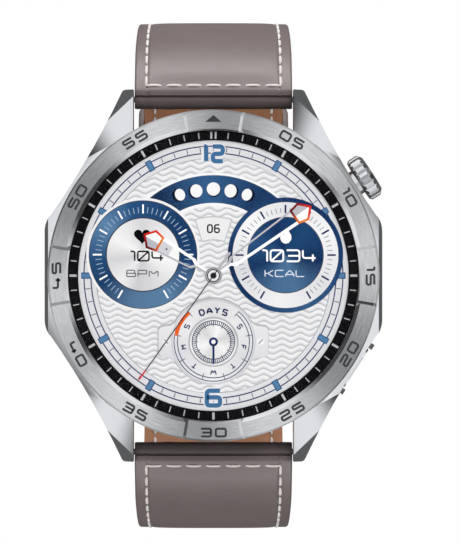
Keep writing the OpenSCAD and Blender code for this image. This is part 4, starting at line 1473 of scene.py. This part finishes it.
LEATHER_NODES = ("upper_strap", "upper_end", "lower_strap", "lower_end", "keeper")
BEVELS = {"middle_case": 0.12, "crown_cap": 0.06, "side_button": 0.12, "buckle_frame": 0.18,
          "buckle_tongue": 0.16, "rear_cover": 0.06, "battery": 0.5, "vibration_motor": 0.2, "speaker": 0.2,
          "processor_shield": 0.1, "quick_release_upper": 0.08, "quick_release_lower": 0.08,
          "bezel_ring": 0.1}


def finish_cad():
    """Gives every CAD node that stays its material, and the nodes in BEVELS softened edges."""
    made = finishes()
    for sub in frame["record"]["subparts"]:
        node = frame["nodes"][sub["node"]]
        if node.name.startswith(LEATHER_NODES):
            continue
        node.data.materials.clear()
        node.data.materials.append(made[sub["material_slot"]])
        if sub["node"] in BEVELS:
            bevel = node.modifiers.new("soft_edges", "BEVEL")
            bevel.width = BEVELS[sub["node"]] * MM
            bevel.segments = 2
            bevel.limit_method = "ANGLE"
            bevel.angle_limit = radians(28)
            bevel.harden_normals = False


# ---------------------------------------------------------------- stage

CAMERA_FAR = 600.0
LENS = 338.0
SHIFT = (0.036, 0.010)


def camera():
    """Square on to the screen and far away, so that the view is nearly flat."""
    data = bpy.data.cameras.new("camera")
    view = bpy.data.objects.new("camera", data)
    bpy.context.collection.objects.link(view)
    view.location = (0, -CAMERA_FAR * MM, 0)
    view.rotation_euler = (radians(90), 0, 0)
    data.sensor_fit, data.sensor_width = "HORIZONTAL", 36
    data.lens = LENS
    data.shift_x, data.shift_y = SHIFT
    data.clip_start, data.clip_end = 0.01, 20
    bpy.context.scene.camera = view


def area(name, place, size, power, only=None, target=(0, 0, 0)):
    """A soft box. only names the collection it lights, when it is flagged off everything else."""
    data = bpy.data.lights.new(name, "AREA")
    data.shape, data.size, data.size_y = "RECTANGLE", size[0], size[1]
    data.energy = power
    lamp = bpy.data.objects.new(name, data)
    bpy.context.collection.objects.link(lamp)
    lamp.location = place
    lamp.visible_camera = False
    if only:
        lamp.light_linking.receiver_collection = only
    lamp.rotation_euler = (Vector(target) - Vector(place)).to_track_quat("-Z", "Y").to_euler()
    return lamp


def lights():
    """Soft boxes in front and to the sides of the watch."""
    key = area("key", (0.3, -0.8, 0.5), (0.3, 0.3), 2.6)
    key.visible_glossy = False
    straps = bpy.data.collections.new("straps")
    for piece in bpy.data.objects:
        if piece.name.startswith(("strap_", "keeper_loop")):
            straps.objects.link(piece)
    area("top_strip", (0, -0.03, 0.3), (0.5, 0.09), 1.1, straps)
    area("low_strip", (0, -0.03, -0.13), (0.3, 0.05), 0.12, straps)


# Equal soft boxes standing round the watch, at these hours of its dial. Each is full over its core, fades out
# at its edge (both in hours), and has grey between it and the next.
BOX_HOURS = (1.25, 3, 5.2, 7.1, 8.5, 11.25)
BOX_CORE, BOX_FADE = 0.18, 0.84
BOX, BETWEEN = 1.7, 0.12
FRONT, BEHIND = 0.5, 0.22
OVERHEAD = 0.3


def world():
    """White to the camera; to everything else a grey studio with soft boxes and dark flags."""
    studio = bpy.data.worlds.new("studio")
    bpy.context.scene.world = studio
    studio.use_nodes = True
    sky = Nodes(studio.node_tree)
    sky.tree.nodes.clear()
    coord = sky.node("ShaderNodeTexCoord").outputs["Generated"]
    split = sky.node("ShaderNodeSeparateXYZ")
    sky.link(coord, split.inputs[0])
    x, y, z = split.outputs
    flat = sky.node("ShaderNodeCombineXYZ")
    sky.link(z, flat.inputs[0])
    sky.link(x, flat.inputs[1])
    turn = sky.node("ShaderNodeTexGradient", gradient_type="RADIAL")
    sky.link(flat.outputs[0], turn.inputs[0])
    around = None
    for hour in BOX_HOURS:
        off = sky.math("ABSOLUTE", sky.math("SUBTRACT", turn.outputs["Fac"], (hour / 12 + 0.5) % 1))
        box = sky.span(off, BOX_CORE / 12, BOX_FADE / 12, BOX - BETWEEN, 0.0, "SMOOTHSTEP")
        around = sky.math("ADD", box, around if around else BETWEEN)
    middle = sky.span(y, -0.999, -0.93, 1.0, 0.0, "SMOOTHSTEP")
    ring = sky.span(y, -0.1, 0.3, 1.0, 0.0, "SMOOTHSTEP")
    sides = sky.math("MULTIPLY", around, ring)
    lit = sky.math("ADD", sides, sky.math("MULTIPLY", middle, FRONT))
    total = sky.math("ADD", lit, sky.span(y, 0.0, 0.5, 0.0, BEHIND, "SMOOTHSTEP"))
    total = sky.math("ADD", total, sky.span(z, 0.9, 0.985, 0.0, OVERHEAD, "SMOOTHSTEP"))
    glow, seen = sky.node("ShaderNodeBackground"), sky.node("ShaderNodeBackground")
    sky.link(total, glow.inputs["Strength"])
    seen.inputs["Color"].default_value = (1, 1, 1, 1)
    path, mix = sky.node("ShaderNodeLightPath"), sky.node("ShaderNodeMixShader")
    sky.link(path.outputs["Is Camera Ray"], mix.inputs[0])
    sky.link(glow.outputs[0], mix.inputs[1])
    sky.link(seen.outputs[0], mix.inputs[2])
    out = sky.node("ShaderNodeOutputWorld")
    sky.link(mix.outputs[0], out.inputs["Surface"])
    bpy.context.scene.view_settings.view_transform = "Standard"


def floor():
    """A pale floor well below the watch, out of the front view."""
    bpy.ops.mesh.primitive_circle_add(vertices=96, radius=1.2, fill_type="NGON", location=(0, 0, -0.14))
    ground = bpy.context.object
    ground.name = "floor"
    m = Shader("floor_pale", (0.9, 0.9, 0.9, 1), 0.8)
    m.set("Emission Color", (1, 1, 1, 1))
    m.set("Emission Strength", 0.06)
    ground.data.materials.append(m.mat)
    ground.visible_diffuse = ground.visible_glossy = False


# ---------------------------------------------------------------- build

camera()
world()
floor()
finish_cad()
screen()
bezel_numerals()
minute_ring_marks()
for plate in PLATES:
    plate.build()
strap_halves()
MADE["thread"] = thread_material()
for is_long in (False, True):
    strap_stitching(is_long)
    lining_stitching(is_long)
keeper("keeper_loop_fixed", "keeper_fixed", 3, 11, "strap_short_end")
keeper("keeper_loop_free", "keeper_free", 29.5, 38.3, "keeper_loop")
lights()
